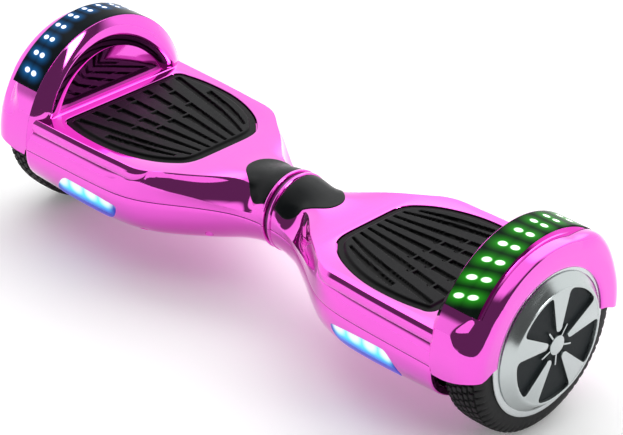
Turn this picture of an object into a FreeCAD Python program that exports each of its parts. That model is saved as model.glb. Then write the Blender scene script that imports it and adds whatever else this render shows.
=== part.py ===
import FreeCAD, Part
import math
import os
import re

Vector = FreeCAD.Vector
doc = FreeCAD.newDocument("hoverboard")
sheet = doc.addObject("Spreadsheet::Sheet", "Sizes")

# Sizes in millimetres and degrees. X runs along the axles, -Y is the front, Z is up from the floor.
SIZES = [
    ("axle_height", 84.0), ("parting_z", 81.0), ("parting_gap", 0.3),
    ("wall_thick", 2.6), ("deck_z", 110.0),
    ("neck_start", 2.5), ("lip_end", 5.5), ("lip_radius", 36.0), ("lip_bore", 31.6),
    ("shell_end", 240.4), ("cavity_end", 233.0),
    ("fender_radius", 94.3), ("fender_outer_face", 284.5), ("arch_radius", 64.0),
    ("strip_start", 241.5), ("strip_end", 270.5), ("strip_from", 31.6), ("strip_to", 148.4),
    ("strip_floor", 93.0), ("strip_top", 94.5),
    ("led_rows_apart", 12.0), ("led_row_middle", 256.0), ("led_pairs", 10.0),
    ("led_first", 39.5), ("led_pitch", 11.22), ("led_side", 3.2),
    ("pad_floor", 105.4), ("tray_bottom", 103.0), ("pad_under", 107.2), ("pad_flange_top", 109.0),
    ("pad_top", 111.2), ("pad_flange_width", 7.0), ("pad_gap", 0.5), ("groove_depth", 2.2),
    ("plunger_radius", 4.0), ("plunger_bottom", 97.0),
    ("tyre_radius", 84.0), ("tyre_inner", 62.05), ("tyre_start", 241.5), ("tyre_end", 280.0),
    ("rim_start", 238.5), ("rim_end", 282.2), ("rim_lip", 66.0), ("rim_drum", 62.0), ("rim_bore", 57.0),
    ("hub_face", 292.0), ("hub_disc", 52.0), ("window_floor", 287.6), ("window_radius", 49.6),
    ("hub_insert_top", 288.8), ("spoke_tip", 16.5), ("spoke_tip_half", 3.5),
    ("spoke_root", 48.6), ("spoke_root_half", 15.3), ("hub_centre", 8.5), ("ray_length", 19.0),
    ("ray_width", 1.2), ("spoke_count", 5.0),
    ("axle_radius", 8.0), ("axle_fit", 0.05), ("axle_start", 188.0), ("axle_end", 281.5),
    ("bearing_outer", 16.0), ("bearing_inner_start", 241.6), ("bearing_outer_start", 272.0),
    ("bearing_wide", 9.0), ("stator_start", 252.5), ("stator_wide", 17.0), ("stator_bore", 8.02),
    ("stator_hub", 28.0), ("stator_radius", 50.8), ("teeth", 18.0), ("tooth_wide", 4.0),
    ("tooth_tip_wide", 13.0), ("coil_wide", 9.0), ("coil_in", 30.0), ("coil_out", 46.0),
    ("magnet_in", 52.2), ("magnet_out", 56.9), ("magnets", 20.0), ("magnet_start", 246.2),
    ("magnet_wide", 27.0),
    ("shaft_radius", 12.0), ("shaft_half", 54.0), ("bush_fit", 0.05), ("bush_outer", 14.0),
    ("boss_radius", 19.0), ("boss_near", 3.3), ("boss_far", 52.0),
    ("ring_radius", 33.6), ("ring_half", 2.0), ("ring_bore", 19.1),
    ("plate_bottom", 74.0), ("plate_top", 79.0), ("plate_half_neck", 29.0), ("plate_half", 54.0),
    ("plate_start", 42.0), ("plate_step", 84.0), ("plate_end", 229.0),
    ("seat_start", 194.0), ("seat_half", 20.0), ("seat_bottom", 66.0),
    ("clamp_start", 196.0), ("clamp_end", 226.0), ("clamp_top", 97.0), ("bolt_reach", 14.0),
    ("bolt_radius", 2.5), ("bolt_head", 4.6), ("bolt_tip", 70.0),
    ("board_thick", 1.6), ("sensor_start", 98.0), ("sensor_end", 188.0), ("sensor_half", 32.0),
    ("sensor_z", 92.0),
    ("main_start", 80.0), ("main_end", 180.0), ("main_half", 38.0), ("main_z", 58.0),
    ("battery_start", 100.0), ("battery_end", 190.0), ("battery_half", 36.0), ("battery_bottom", 40.0),
    ("battery_top", 66.0),
    ("port_x", 140.0), ("port_z", 67.0), ("port_bezel", 11.5), ("port_face", 92.0),
    ("port_body", 8.0), ("port_bore", 5.6), ("port_depth", 14.0), ("cap_thick", 2.0),
    ("button_x", 180.0), ("button_bezel", 9.0), ("button_radius", 6.0), ("button_face", 92.8),
    ("screw_radius", 1.6), ("screw_head", 3.4), ("post_radius", 5.2),
]
for number, (name, value) in enumerate(SIZES, 1):
    sheet.set(f"A{number}", name)
    sheet.set(f"B{number}", str(value))
    sheet.setAlias(f"B{number}", name)

# Half-body stations: x, deck edge half width and height, crown height, crease half width and height,
# how far the flank above the crease bows out, waist half width, floor height, roundness below.
STATIONS = [
    (2.5, 27.0, 105.5, 118.5, 34.3, 88.5, 1.6, 34.4, 49.5, 2.0),
    (12.0, 26.5, 105.0, 117.7, 34.7, 88.3, 1.2, 35.0, 49.3, 2.0),
    (24.0, 24.0, 105.0, 115.2, 36.6, 87.5, -1.2, 37.0, 47.5, 2.05),
    (40.0, 18.0, 107.6, 111.4, 43.0, 88.8, -3.8, 42.6, 43.5, 2.1),
    (54.0, 24.0, 109.2, 110.2, 50.6, 91.4, -4.6, 49.6, 40.0, 2.2),
    (68.0, 43.5, 109.6, 110.0, 58.6, 94.2, -4.2, 58.2, 37.2, 2.3),
    (86.0, 61.5, 109.8, 110.0, 70.4, 97.0, -3.0, 70.4, 34.8, 2.4),
    (106.0, 76.5, 110.0, 110.0, 82.0, 98.8, -1.4, 82.6, 33.2, 2.45),
    (128.0, 82.2, 110.0, 110.0, 88.2, 100.2, 0.8, 89.6, 32.2, 2.5),
    (152.0, 84.2, 110.0, 110.0, 90.2, 101.0, 1.8, 91.9, 32.0, 2.5),
    (196.0, 86.0, 110.0, 110.0, 91.6, 101.0, 2.0, 93.1, 32.0, 2.5),
    (240.4, 87.6, 110.0, 110.0, 92.6, 101.0, 2.0, 94.0, 32.0, 2.5),
]
STATION_COLUMNS = "DEFGHIJKLM"
for number, station in enumerate(STATIONS, 1):
    for column, value in zip(STATION_COLUMNS, station):
        sheet.set(f"{column}{number}", str(value))
doc.recompute()

NAMES = [name for name, value in SIZES]
NAME_PATTERN = re.compile(r"[a-z]+(?:_[a-z]+)*")
parts = {}


def size(name):
    return float(sheet.get(name))


def formula(words):
    return NAME_PATTERN.sub(lambda m: "Sizes." + m.group(0) if m.group(0) in NAMES else m.group(0), words)


def bind(item, **formulas):
    for key, words in formulas.items():
        item.setExpression(key.replace("__", "."), formula(words))


def place(item, x="0", y="0", z="0"):
    bind(item, Placement__Base__x=x, Placement__Base__y=y, Placement__Base__z=z)


def box(name, x0, x1, y0, y1, z0, z1):
    item = doc.addObject("Part::Box", name)
    bind(item, Length=f"({x1}) - ({x0})", Width=f"({y1}) - ({y0})", Height=f"({z1}) - ({z0})")
    place(item, x0, y0, z0)
    return item


TURNS = {
    "x": FreeCAD.Rotation(Vector(0, 1, 0), 90),
    "y": FreeCAD.Rotation(Vector(1, 0, 0), -90),
    "z": FreeCAD.Rotation(),
}


def rod(name, axis, radius, start, end, a="0", b="0"):
    item = doc.addObject("Part::Cylinder", name)
    bind(item, Radius=radius, Height=f"({end}) - ({start})")
    item.Placement = FreeCAD.Placement(Vector(), TURNS[axis])
    spots = {"x": (start, a, b), "y": (a, start, b), "z": (a, b, start)}
    place(item, *spots[axis])
    return item


def fuse(name, items):
    item = doc.addObject("Part::MultiFuse", name)
    item.Shapes = items
    return item


def group(name, items):
    item = doc.addObject("Part::Compound", name)
    item.Links = items
    return item


def cut(name, base, tools):
    item = doc.addObject("Part::Cut", name)
    item.Base = base
    item.Tool = tools[0] if len(tools) == 1 else fuse(name + "_tools", tools)
    return item


def mirrored(name, source):
    item = doc.addObject("Part::Mirroring", name)
    item.Source = source
    item.Base = Vector(0, 0, 0)
    item.Normal = Vector(1, 0, 0)
    return item


def shaped(name, shape):
    item = doc.addObject("Part::Feature", name)
    item.Shape = shape
    return item


def keep(label, item):
    item.Label = label
    parts[label] = item


def plane(body, role):
    return next(item for item in body.Origin.OriginFeatures if item.Role == role)


def turned(name, profile):
    """A body turned about the axle line from (x, radius) corners given as formulas."""
    import Sketcher
    body = doc.addObject("PartDesign::Body", name)
    place(body, z="axle_height")
    sketch = body.newObject("Sketcher::SketchObject", name + "_profile")
    sketch.AttachmentSupport = [(plane(body, "XZ_Plane"), "")]
    sketch.MapMode = "FlatFace"
    count = len(profile)
    guess = [(float(doc.Sizes.evalExpression(formula(x))), float(doc.Sizes.evalExpression(formula(r))))
             for x, r in profile]
    for number in range(count):
        near, far = guess[number], guess[(number + 1) % count]
        sketch.addGeometry(Part.LineSegment(Vector(*near, 0), Vector(*far, 0)), False)
    for number in range(count):
        sketch.addConstraint(Sketcher.Constraint("Coincident", number, 2, (number + 1) % count, 1))
    for number, ((x_words, r_words), (x, r)) in enumerate(zip(profile, guess)):
        place_x = sketch.addConstraint(Sketcher.Constraint("DistanceX", -1, 1, number, 1, x))
        sketch.setExpression(f"Constraints[{place_x}]", formula(x_words))
        if abs(r) < 1e-6:
            sketch.addConstraint(Sketcher.Constraint("PointOnObject", number, 1, -1))
        else:
            place_r = sketch.addConstraint(Sketcher.Constraint("DistanceY", -1, 1, number, 1, r))
            sketch.setExpression(f"Constraints[{place_r}]", formula(r_words))
    doc.recompute()
    turning = body.newObject("PartDesign::Revolution", name + "_turning")
    turning.Profile = sketch
    turning.ReferenceAxis = (sketch, ["H_Axis"])
    turning.Angle = 360
    sketch.Visibility = False
    body.Tip = turning
    doc.recompute()
    return body


def curve(points):
    line = Part.BSplineCurve()
    line.interpolate(points)
    return line.toShape()


def table_row(number):
    return [float(sheet.get(f"{column}{number + 1}")) for column in STATION_COLUMNS]


def section(row, inset, x):
    """Closed outline of the half body at one station, drawn in by the inset."""
    edge_y, edge_z, crown_z, crease_y, crease_z, bow, waist_y, floor_z, roundness = row[1:]
    middle = size("parting_z")
    tight_y = 1 - inset / waist_y
    tight_up = 1 - inset / (crown_z - middle)
    tight_down = 1 - inset / (middle - floor_z)

    def spot(y, z):
        squeeze = tight_up if z > middle else tight_down
        return Vector(x, y * tight_y, middle + (z - middle) * squeeze)

    rise = crown_z - edge_z
    bend = (edge_y ** 2 + rise ** 2) / (2 * rise) if rise > 0.01 else 0

    def crown(y):
        return crown_z - (bend - math.sqrt(bend ** 2 - y ** 2)) if bend else edge_z

    top = [(edge_y * part / 4, crown(edge_y * part / 4)) for part in range(-4, 5)]
    top[0] = (-edge_y, edge_z)
    top[-1] = (edge_y, edge_z)
    run_y, run_z = crease_y - edge_y, crease_z - edge_z
    length = math.hypot(run_y, run_z)
    flank = []
    for part in range(6):
        along = part / 5
        out = 4 * bow * along * (1 - along)
        flank.append((edge_y + run_y * along - run_z / length * out,
                      edge_z + run_z * along + run_y / length * out))
    waist = []
    for part in range(5):
        along = part / 4
        waist.append((crease_y + (waist_y - crease_y) * (2 * along - along ** 2),
                      crease_z + (middle - crease_z) * along))
    lower = []
    for part in range(25):
        angle = math.pi * part / 24
        across, down = math.cos(angle), math.sin(angle)
        power = 2 / roundness
        lower.append((math.copysign(waist_y * abs(across) ** power, across),
                      middle - (middle - floor_z) * down ** power))
    right = [curve([spot(*point) for point in points]) for points in (flank, waist)]
    left = [curve([spot(-y, z) for y, z in reversed(points)]) for points in (waist, flank)]
    edges = [curve([spot(*point) for point in top])] + right
    edges += [curve([spot(*point) for point in lower])] + left
    return Part.Wire(edges)


def loft(inset, last_x):
    rows = [table_row(number) for number in range(len(STATIONS))]
    wires = [section(row, inset, row[0]) for row in rows[:-1]]
    wires.append(section(rows[-1], inset, last_x))
    return Part.makeLoft(wires, True, False)


def wheel_ring(corners, start=None, end=None):
    """Solid of revolution about the axle from (x, radius) corners; angles rise from the front."""
    height = size("axle_height")
    first = start if start is not None else 0
    turn = (end - start) if start is not None else 360
    lean = math.radians(first)
    points = [Vector(x, -r * math.cos(lean), height + r * math.sin(lean)) for x, r in corners]
    face = Part.Face(Part.makePolygon(points + points[:1]))
    return face.revolve(Vector(0, 0, height), Vector(-1, 0, 0), turn)


def slab(x0, x1, y0, y1, z0, z1):
    return Part.makeBox(x1 - x0, y1 - y0, z1 - z0, Vector(x0, y0, z0))


def prism(wire, z0, z1):
    flat = wire.copy()
    flat.translate(Vector(0, 0, z0))
    return Part.Face(flat).extrude(Vector(0, 0, z1 - z0))


PAD_SIDE = [(224, 66.6), (209, 70.9), (195, 73.8), (172, 75.4), (152, 74.4), (134, 70.6), (116, 63.8),
            (103, 56.0), (94.2, 48.4), (88.8, 41.6), (86.8, 33.0)]
PAD_END = 217.4
PAD_CORNER = 9.0


def pad_outline(inset):
    """Outline of the foot pad at height zero: wide at the wheel, narrow at the neck."""
    line = Part.BSplineCurve()
    line.interpolate([Vector(x, y, 0) for x, y in PAD_SIDE])
    end = PAD_END - inset
    corner = max(PAD_CORNER - inset, 2.5)
    spots = []
    for number in range(41):
        where = line.FirstParameter + (line.LastParameter - line.FirstParameter) * number / 40
        along = line.tangent(where)[0]
        spots.append(line.value(where) + Vector(-along.y, along.x, 0) * inset)
    start = end - corner
    first = next(number for number, spot in enumerate(spots) if spot.x < start - 1)
    before, after = spots[first - 1], spots[first]
    share = (start - before.x) / (after.x - before.x)
    far = [before + (after - before) * share] + spots[first::2]
    near = [Vector(spot.x, -spot.y, 0) for spot in reversed(far)]
    high = far[0].y
    turn = corner * (1 - math.sqrt(0.5))
    low = high - corner
    pieces = [
        curve(far),
        Part.LineSegment(far[-1], near[0]).toShape(),
        curve(near),
        Part.Arc(near[-1], Vector(end - turn, turn - high, 0), Vector(end, -low, 0)).toShape(),
        Part.LineSegment(Vector(end, -low, 0), Vector(end, low, 0)).toShape(),
        Part.Arc(Vector(end, low, 0), Vector(end - turn, high - turn, 0), far[0]).toShape(),
    ]
    return Part.Wire(pieces)


GROOVE_LINES = {
    0: [(95, 0), (154, 0), (211, 0)],
    1: [(94.5, 10.0), (125, 13.2), (165, 17.4), (211, 20.6)],
    2: [(95, 20.2), (123, 25.2), (152, 30.4), (185, 36.6), (211, 41.0)],
    3: [(96, 30.6), (116, 38.0), (141, 45.2), (190, 56.0), (210, 60.4)],
    4: [(104, 42.0), (120, 48.6), (136, 53.6), (169, 61.8)],
}
RIB_ARCS = [(201.0, 15.0, 50.0), (175.0, 11.0, 37.0), (154.0, 6.0, 26.0)]


def groove_tool(points, side, low, high):
    """One long groove: pointed at the neck end, full width towards the wheel."""
    spots = [Vector(x, y * side, 0) for x, y in points]
    edge = []
    for number, spot in enumerate(spots):
        before = spots[max(number - 1, 0)]
        after = spots[min(number + 1, len(spots) - 1)]
        run = (after - before).normalize()
        reach = (spot.x - spots[0].x) / (spots[-1].x - spots[0].x)
        half = 0.35 + 1.75 * min(1.0, reach * 1.8)
        edge.append((spot, Vector(-run.y, run.x, 0) * half))
    one = curve([spot + half for spot, half in edge])
    other = curve([spot - half for spot, half in reversed(edge)])
    caps = [Part.LineSegment(edge[-1][0] + edge[-1][1], edge[-1][0] - edge[-1][1]).toShape(),
            Part.LineSegment(edge[0][0] - edge[0][1], edge[0][0] + edge[0][1]).toShape()]
    return prism(Part.Wire([one, caps[0], other, caps[1]]), low, high)


def rib_points(peak_x, sag, half):
    return [(peak_x - sag * (y / half) ** 2, y) for y in (-half, -half / 2, 0, half / 2, half)]


def rib_tool(peak_x, sag, half, thick, low, high):
    near = [Vector(x - thick / 2, y, 0) for x, y in rib_points(peak_x, sag, half)]
    far = [Vector(x + thick / 2, y, 0) for x, y in reversed(rib_points(peak_x, sag, half))]
    ends = [Part.LineSegment(near[-1], far[0]).toShape(), Part.LineSegment(far[-1], near[0]).toShape()]
    return prism(Part.Wire([curve(near), ends[0], curve(far), ends[1]]), low, high)


def rib_x(arc, y):
    peak_x, sag, half = arc
    return peak_x - sag * (y / half) ** 2


def groove_y(points, x):
    for (x0, y0), (x1, y1) in zip(points, points[1:]):
        if x0 <= x <= x1:
            return y0 + (y1 - y0) * (x - x0) / (x1 - x0)
    return points[-1][1]


def pad_grooves():
    low = size("pad_top") - size("groove_depth")
    high = size("pad_top") + 2
    grooves = []
    for number, points in GROOVE_LINES.items():
        for side in (1, -1) if number else (1,):
            grooves.append(groove_tool(points, side, low, high))
    ribs = [rib_tool(*arc, 2.4, low - 1, high + 1) for arc in RIB_ARCS]
    hooks = []
    for arc in RIB_ARCS:
        for number, points in GROOVE_LINES.items():
            for side in (1, -1) if number else (1,):
                y = groove_y(points, arc[0] - arc[1] * 0.4) * side
                if number == 4 or abs(y) > arc[2]:
                    continue
                x = rib_x(arc, y)
                hooks.append(slab(x - 3.6, x - 1.2, y - 5.4, y, low, high))
    tool = grooves[0].multiFuse(grooves[1:] + hooks)
    return tool.cut(ribs[0].multiFuse(ribs[1:]))


def foot_pad():
    flange = prism(pad_outline(size("pad_gap")), size("pad_under"), size("pad_flange_top"))
    inner = pad_outline(size("pad_flange_width"))
    inner_top = pad_outline(size("pad_flange_width") + 1.4)
    base = prism(inner, size("pad_flange_top"), size("pad_top") - 1.4)
    rim_low = inner.copy()
    rim_low.translate(Vector(0, 0, size("pad_top") - 1.4))
    rim_high = inner_top.copy()
    rim_high.translate(Vector(0, 0, size("pad_top")))
    slope = Part.makeLoft([rim_low, rim_high], True, True)
    pins = [Part.makeCylinder(size("plunger_radius"), size("pad_under") + 0.5 - size("plunger_bottom"),
                              Vector(x, 0, size("plunger_bottom"))) for x in PLUNGERS]
    return flange.multiFuse([base, slope] + pins).removeSplitter().cut(pad_grooves())


PLUNGERS = (112.0, 174.0)


def pushed(spots, inset, closed):
    """The same run of points moved sideways, to the left of the way they run."""
    moved = []
    for number, (a, b) in enumerate(spots):
        before = spots[number - 1] if closed or number else spots[0]
        after = spots[(number + 1) % len(spots)] if closed or number < len(spots) - 1 else spots[-1]
        run_a, run_b = after[0] - before[0], after[1] - before[1]
        length = math.hypot(run_a, run_b)
        moved.append((a - run_b / length * inset, b + run_a / length * inset))
    return moved


HEADLIGHT = [(130.6, 65.6), (131.6, 62.2), (137, 58.8), (150, 54.6), (172, 52.8), (194, 53.2),
             (201.0, 55.2), (201.6, 59.6), (196, 66.2), (189, 69.4), (175, 70.2), (150, 70.3),
             (134.5, 69.2)]


def headlight_outline(inset):
    line = Part.BSplineCurve()
    spots = [Vector(x, -130, z) for x, z in pushed(HEADLIGHT, inset, True)]
    line.interpolate(Points=spots, PeriodicFlag=True)
    return Part.Wire([line.toShape()])


def front_prism(wire):
    return Part.Face(wire).extrude(Vector(0, 80, 0))


TRIM_EDGE = [(5.8, -31.0), (12, -31.6), (17.5, -31.2), (24, -28.6), (31, -24.2), (38, -19.6),
             (45, -14.2), (49.6, -7.6), (50.9, 0), (49.6, 7.6), (45, 14.2), (38, 19.6), (31, 24.2),
             (24, 28.6), (17.5, 31.2), (12, 31.6), (5.8, 31.0)]


def trim_outline(inset):
    spots = [Vector(x, y, 0) for x, y in pushed(TRIM_EDGE, inset, False)]
    return Part.Wire([curve(spots), Part.LineSegment(spots[-1], spots[0]).toShape()])


outer = loft(0, size("shell_end"))
inner = loft(size("wall_thick"), size("cavity_end"))
height = size("axle_height")
far_out = 400
above = slab(-10, far_out, -200, 200, size("parting_z") + size("parting_gap") / 2, 300)
below = slab(-10, far_out, -200, 200, -50, size("parting_z") - size("parting_gap") / 2)

cavity = wheel_ring([(235.8, 0), (235.8, 68.5), (240.6, 82), (240.6, 88), (242.6, 90.3), (270, 90.3),
                     (282.6, 86), (282.6, 64), (300, 64), (300, 0)])
crown = size("fender_radius")
face_x = size("fender_outer_face")
fender = wheel_ring([(233.4, 0), (233.4, 68.5), (238.0, 82), (238.3, 88.4), (239.6, 92), (242.6, crown),
                     (279.5, crown), (282.8, 92.8), (face_x, 89.6), (face_x, 60), (236, 60),
                     (236, 0)])
scoop = wheel_ring([(271.6, crown + 2), (271.6, crown), (277.6, 90.2), (face_x - 0.4, 86.6),
                    (face_x + 4, 84.6), (face_x + 4, crown + 2)], 24, 166)
strip_pocket = wheel_ring([(size("strip_start"), size("strip_floor")), (size("strip_start"), 99),
                           (size("strip_end"), 99), (size("strip_end"), size("strip_floor"))],
                          size("strip_from"), size("strip_to"))
board_pocket = wheel_ring([(245, 91.3), (245, 94), (267, 94), (267, 91.3)],
                          size("strip_from") + 2, size("strip_to") - 2)
lip = Part.makeCylinder(size("lip_radius"), size("lip_end") - size("neck_start"),
                        Vector(size("neck_start"), 0, height), Vector(1, 0, 0))
lip_hole = Part.makeCylinder(size("lip_bore"), 14, Vector(0, 0, height), Vector(1, 0, 0))
axle_gate = Part.makeCylinder(size("axle_radius") + 3, 60, Vector(225, 0, height), Vector(1, 0, 0))

trim_skin = loft(1.1, size("shell_end"))
trim_over = loft(-0.7, size("shell_end"))
trim_pocket = prism(trim_outline(-0.25), 84, 130).cut(trim_skin)
tray = prism(pad_outline(-2.4), size("tray_bottom"), size("deck_z") - 1.0).common(outer)
pad_well = prism(pad_outline(-0.4), size("pad_floor"), 130)
pins_through = [Part.makeCylinder(size("plunger_radius") + 0.6, 12, Vector(x, 0, 98)) for x in PLUNGERS]

POSTS = [(60.0, 42.0), (60.0, -42.0), (112.0, 70.0), (112.0, -70.0), (206.0, 66.0), (206.0, -66.0)]


def post(x, y, low, high, radius):
    return Part.makeCylinder(radius, high - low, Vector(x, y, low))


def surface_z(x, y):
    """Height of the underside of the half body at one spot."""
    probe = Part.makeLine(Vector(x, y, -10), Vector(x, y, size("parting_z")))
    return min(vertex.Point.z for vertex in probe.common(outer).Vertexes)


floor_at = {spot: surface_z(*spot) for spot in POSTS}
post_tops = [post(x, y, size("parting_z"), 109, size("post_radius")) for x, y in POSTS]
post_feet = [post(x, y, 20, size("parting_z"), size("post_radius")) for x, y in POSTS]
screw_holes = [post(x, y, 20, 97, size("screw_radius") + 0.05) for x, y in POSTS]
head_holes = [post(x, y, 10, floor_at[(x, y)] + 7, size("screw_head") + 0.4) for x, y in POSTS]

shell = outer.cut(inner)
upper = shell.common(above).fuse(fender.common(above)).fuse(lip.common(above)).fuse(tray)
upper = upper.multiFuse([item.common(outer).common(above) for item in post_tops])
for tool in (cavity, scoop, strip_pocket, board_pocket, pad_well, lip_hole, axle_gate, trim_pocket):
    upper = upper.cut(tool)
upper = upper.cut(Part.makeCompound(pins_through + screw_holes))

lower = shell.common(below).fuse(lip.common(below))
lower = lower.multiFuse([item.common(outer).common(below) for item in post_feet])
for tool in (cavity, lip_hole, axle_gate, Part.makeCompound(screw_holes + head_holes),
             front_prism(headlight_outline(-0.25))):
    lower = lower.cut(tool)

keep("right_upper_cover", shaped("right_upper_cover_shape", upper))
keep("left_upper_cover", mirrored("left_upper_cover_mirror", parts["right_upper_cover"]))

common_lower = shaped("lower_cover_shape", lower)
keep("left_lower_cover", mirrored("left_lower_cover_mirror", common_lower))
port_boss = rod("port_boss", "y", "port_bezel", "82", "port_face", "port_x", "port_z")
button_boss = rod("button_boss", "y", "button_bezel", "76", "port_face", "button_x", "port_z")
hinge_lugs = [box(f"hinge_lug_{number}", f"port_x + {near}", f"port_x + {far}", "85", "port_face + 2.2",
                  "port_z + 9.6", "port_z + 12.6") for number, (near, far) in enumerate([(-7.2, -4.3), (4.3, 7.2)])]
port_hole = rod("port_hole", "y", "port_body + 0.05", "60", "110", "port_x", "port_z")
button_hole = rod("button_hole", "y", "button_radius + 0.3", "60", "110", "button_x", "port_z")
hinge_hole = rod("hinge_hole", "x", "0.65", "port_x - 9", "port_x + 9", "port_face + 1.15", "port_z + 11.1")
keep("right_lower_cover", cut("right_lower_cover_cut",
                              fuse("right_lower_cover_solid", [common_lower, port_boss, button_boss] + hinge_lugs),
                              [port_hole, button_hole, hinge_hole]))

trim = trim_over.common(prism(trim_outline(0), 84, 130)).cut(trim_skin)
keep("right_center_trim", shaped("right_center_trim_shape", trim))
keep("right_foot_pad", shaped("right_foot_pad_shape", foot_pad()))
lens = wheel_ring([(size("strip_start") + 0.2, size("strip_floor") + 0.05),
                   (size("strip_start") + 0.2, size("strip_top")),
                   (size("strip_end") - 0.2, size("strip_top")),
                   (size("strip_end") - 0.2, size("strip_floor") + 0.05)],
                  size("strip_from") + 0.15, size("strip_to") - 0.15)
keep("right_led_lens", shaped("right_led_lens_shape", lens))
board = wheel_ring([(246, 91.35), (246, 92.15), (266, 92.15), (266, 91.35)],
                   size("strip_from") + 3, size("strip_to") - 3)
keep("right_led_board", shaped("right_led_board_shape", board))


def about_axle(shape, angle):
    """Turn a shape made straight above the axle to an angle that rises from the front."""
    turned_shape = shape.copy()
    turned_shape.rotate(Vector(0, 0, height), Vector(1, 0, 0), 90 - angle)
    return turned_shape


chips = []
for pair in range(int(size("led_pairs"))):
    for row in (-0.5, 0.5):
        side = size("led_side")
        middle = size("led_row_middle") + row * size("led_rows_apart")
        chip = slab(middle - side / 2, middle + side / 2, -side / 2, side / 2, height + 92.17, height + 92.9)
        chips.append(about_axle(chip, size("led_first") + pair * size("led_pitch")))
keep("right_led_chips", shaped("right_led_chips_shape", Part.makeCompound(chips)))

lens_block = front_prism(headlight_outline(0))
headlight = loft(0.15, size("shell_end")).common(lens_block).cut(loft(2.1, size("shell_end")))
keep("right_headlight_lens", shaped("right_headlight_lens_shape", headlight))
keep("right_headlight_board", box("right_headlight_board_box", "138", "194", "-79", "-79 + board_thick",
                                  "57", "67"))

plate = [box("plate_wide", "plate_step", "plate_end", "-plate_half", "plate_half", "plate_bottom", "plate_top"),
         box("plate_neck", "plate_start", "plate_step + 4", "-plate_half_neck", "plate_half_neck",
             "plate_bottom", "plate_top")]
boss = rod("pivot_boss", "x", "boss_radius", "boss_near", "boss_far", "0", "axle_height")
web = [box(f"boss_web_{side}", "24", "96", f"{side} * 12 - 2", f"{side} * 12 + 2", "67", "plate_top")
       for side in (-1, 1)]
seat = box("axle_seat", "seat_start", "plate_end", "-seat_half", "seat_half", "seat_bottom",
           "axle_height - 0.1")
board_posts = [rod(f"board_post_{number}", "z", "3", "plate_top - 0.5", "sensor_z", x, y)
               for number, (x, y) in enumerate([("106", "26"), ("106", "-26"), ("180", "26"), ("180", "-26")])]
hangers = [rod(f"main_post_{number}", "z", "3", "main_z + board_thick", "plate_bottom + 0.5", x, y)
           for number, (x, y) in enumerate([("88", "32"), ("88", "-32"), ("172", "32"), ("172", "-32")])]
axle_groove = rod("axle_groove", "x", "axle_radius + 0.02", "180", "240", "0", "axle_height")
bolt_spots = [("203", "bolt_reach"), ("203", "-bolt_reach"), ("219", "bolt_reach"), ("219", "-bolt_reach")]
bolt_holes = [rod(f"bolt_hole_{number}", "z", "bolt_radius + 0.05", "bolt_tip - 1", "clamp_top + 2", x, y)
              for number, (x, y) in enumerate(bolt_spots)]
bush_bore = rod("bush_bore", "x", "bush_outer + 0.01", "-1", "boss_far + 5", "0", "axle_height")
shaft_bore = rod("shaft_bore", "x", "shaft_radius + 0.02", "-1", "boss_far + 5", "0", "axle_height")
clip_pocket = rod("clip_pocket", "x", "shaft_radius + 3.6", "boss_far", "boss_far + 5", "0", "axle_height")
right_frame_solid = fuse("right_frame_solid", plate + [boss, seat] + web + board_posts + hangers)
keep("right_frame", cut("right_frame_cut", right_frame_solid,
                        [bush_bore, clip_pocket, axle_groove] + bolt_holes))
left_frame_shape = cut("left_frame_source", fuse("left_frame_solid", plate + [boss, seat] + web + board_posts),
                       [shaft_bore, axle_groove] + bolt_holes)
keep("left_frame", mirrored("left_frame_mirror", left_frame_shape))

clamp_block = box("clamp_block", "clamp_start", "clamp_end", "-seat_half", "seat_half",
                  "axle_height + 0.2", "clamp_top")
keep("right_axle_clamp", cut("right_axle_clamp_cut", clamp_block, [axle_groove] + bolt_holes))
bolts = []
for number, (x, y) in enumerate(bolt_spots):
    shank = rod(f"bolt_shank_{number}", "z", "bolt_radius", "bolt_tip", "clamp_top + 1", x, y)
    head = rod(f"bolt_head_{number}", "z", "bolt_head", "clamp_top", "clamp_top + 4", x, y)
    bolts.append(fuse(f"bolt_{number}", [shank, head]))
keep("right_clamp_bolts", group("right_clamp_bolts_group", bolts))

sensor_plate = box("sensor_plate", "sensor_start", "sensor_end", "-sensor_half", "sensor_half",
                   "sensor_z", "sensor_z + board_thick")
switches = [box(f"sensor_switch_{number}", f"{x} - 5", f"{x} + 5", "-5", "5",
                "sensor_z + board_thick - 0.2", "sensor_z + board_thick + 1.4")
            for number, x in enumerate(PLUNGERS)]
keep("right_sensor_board", fuse("right_sensor_board_solid", [sensor_plate] + switches))

keep("right_axle", rod("right_axle_rod", "x", "axle_radius", "axle_start", "axle_end", "0", "axle_height"))
bearing_rings = []
for number, start in enumerate(("bearing_inner_start", "bearing_outer_start")):
    ring = rod(f"bearing_ring_{number}", "x", "bearing_outer", start, f"{start} + bearing_wide", "0", "axle_height")
    hole = rod(f"bearing_hole_{number}", "x", "axle_radius + axle_fit", f"{start} - 1",
               f"{start} + bearing_wide + 1", "0", "axle_height")
    bearing_rings.append(cut(f"bearing_{number}", ring, [hole]))
keep("right_bearings", group("right_bearings_group", bearing_rings))

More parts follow.
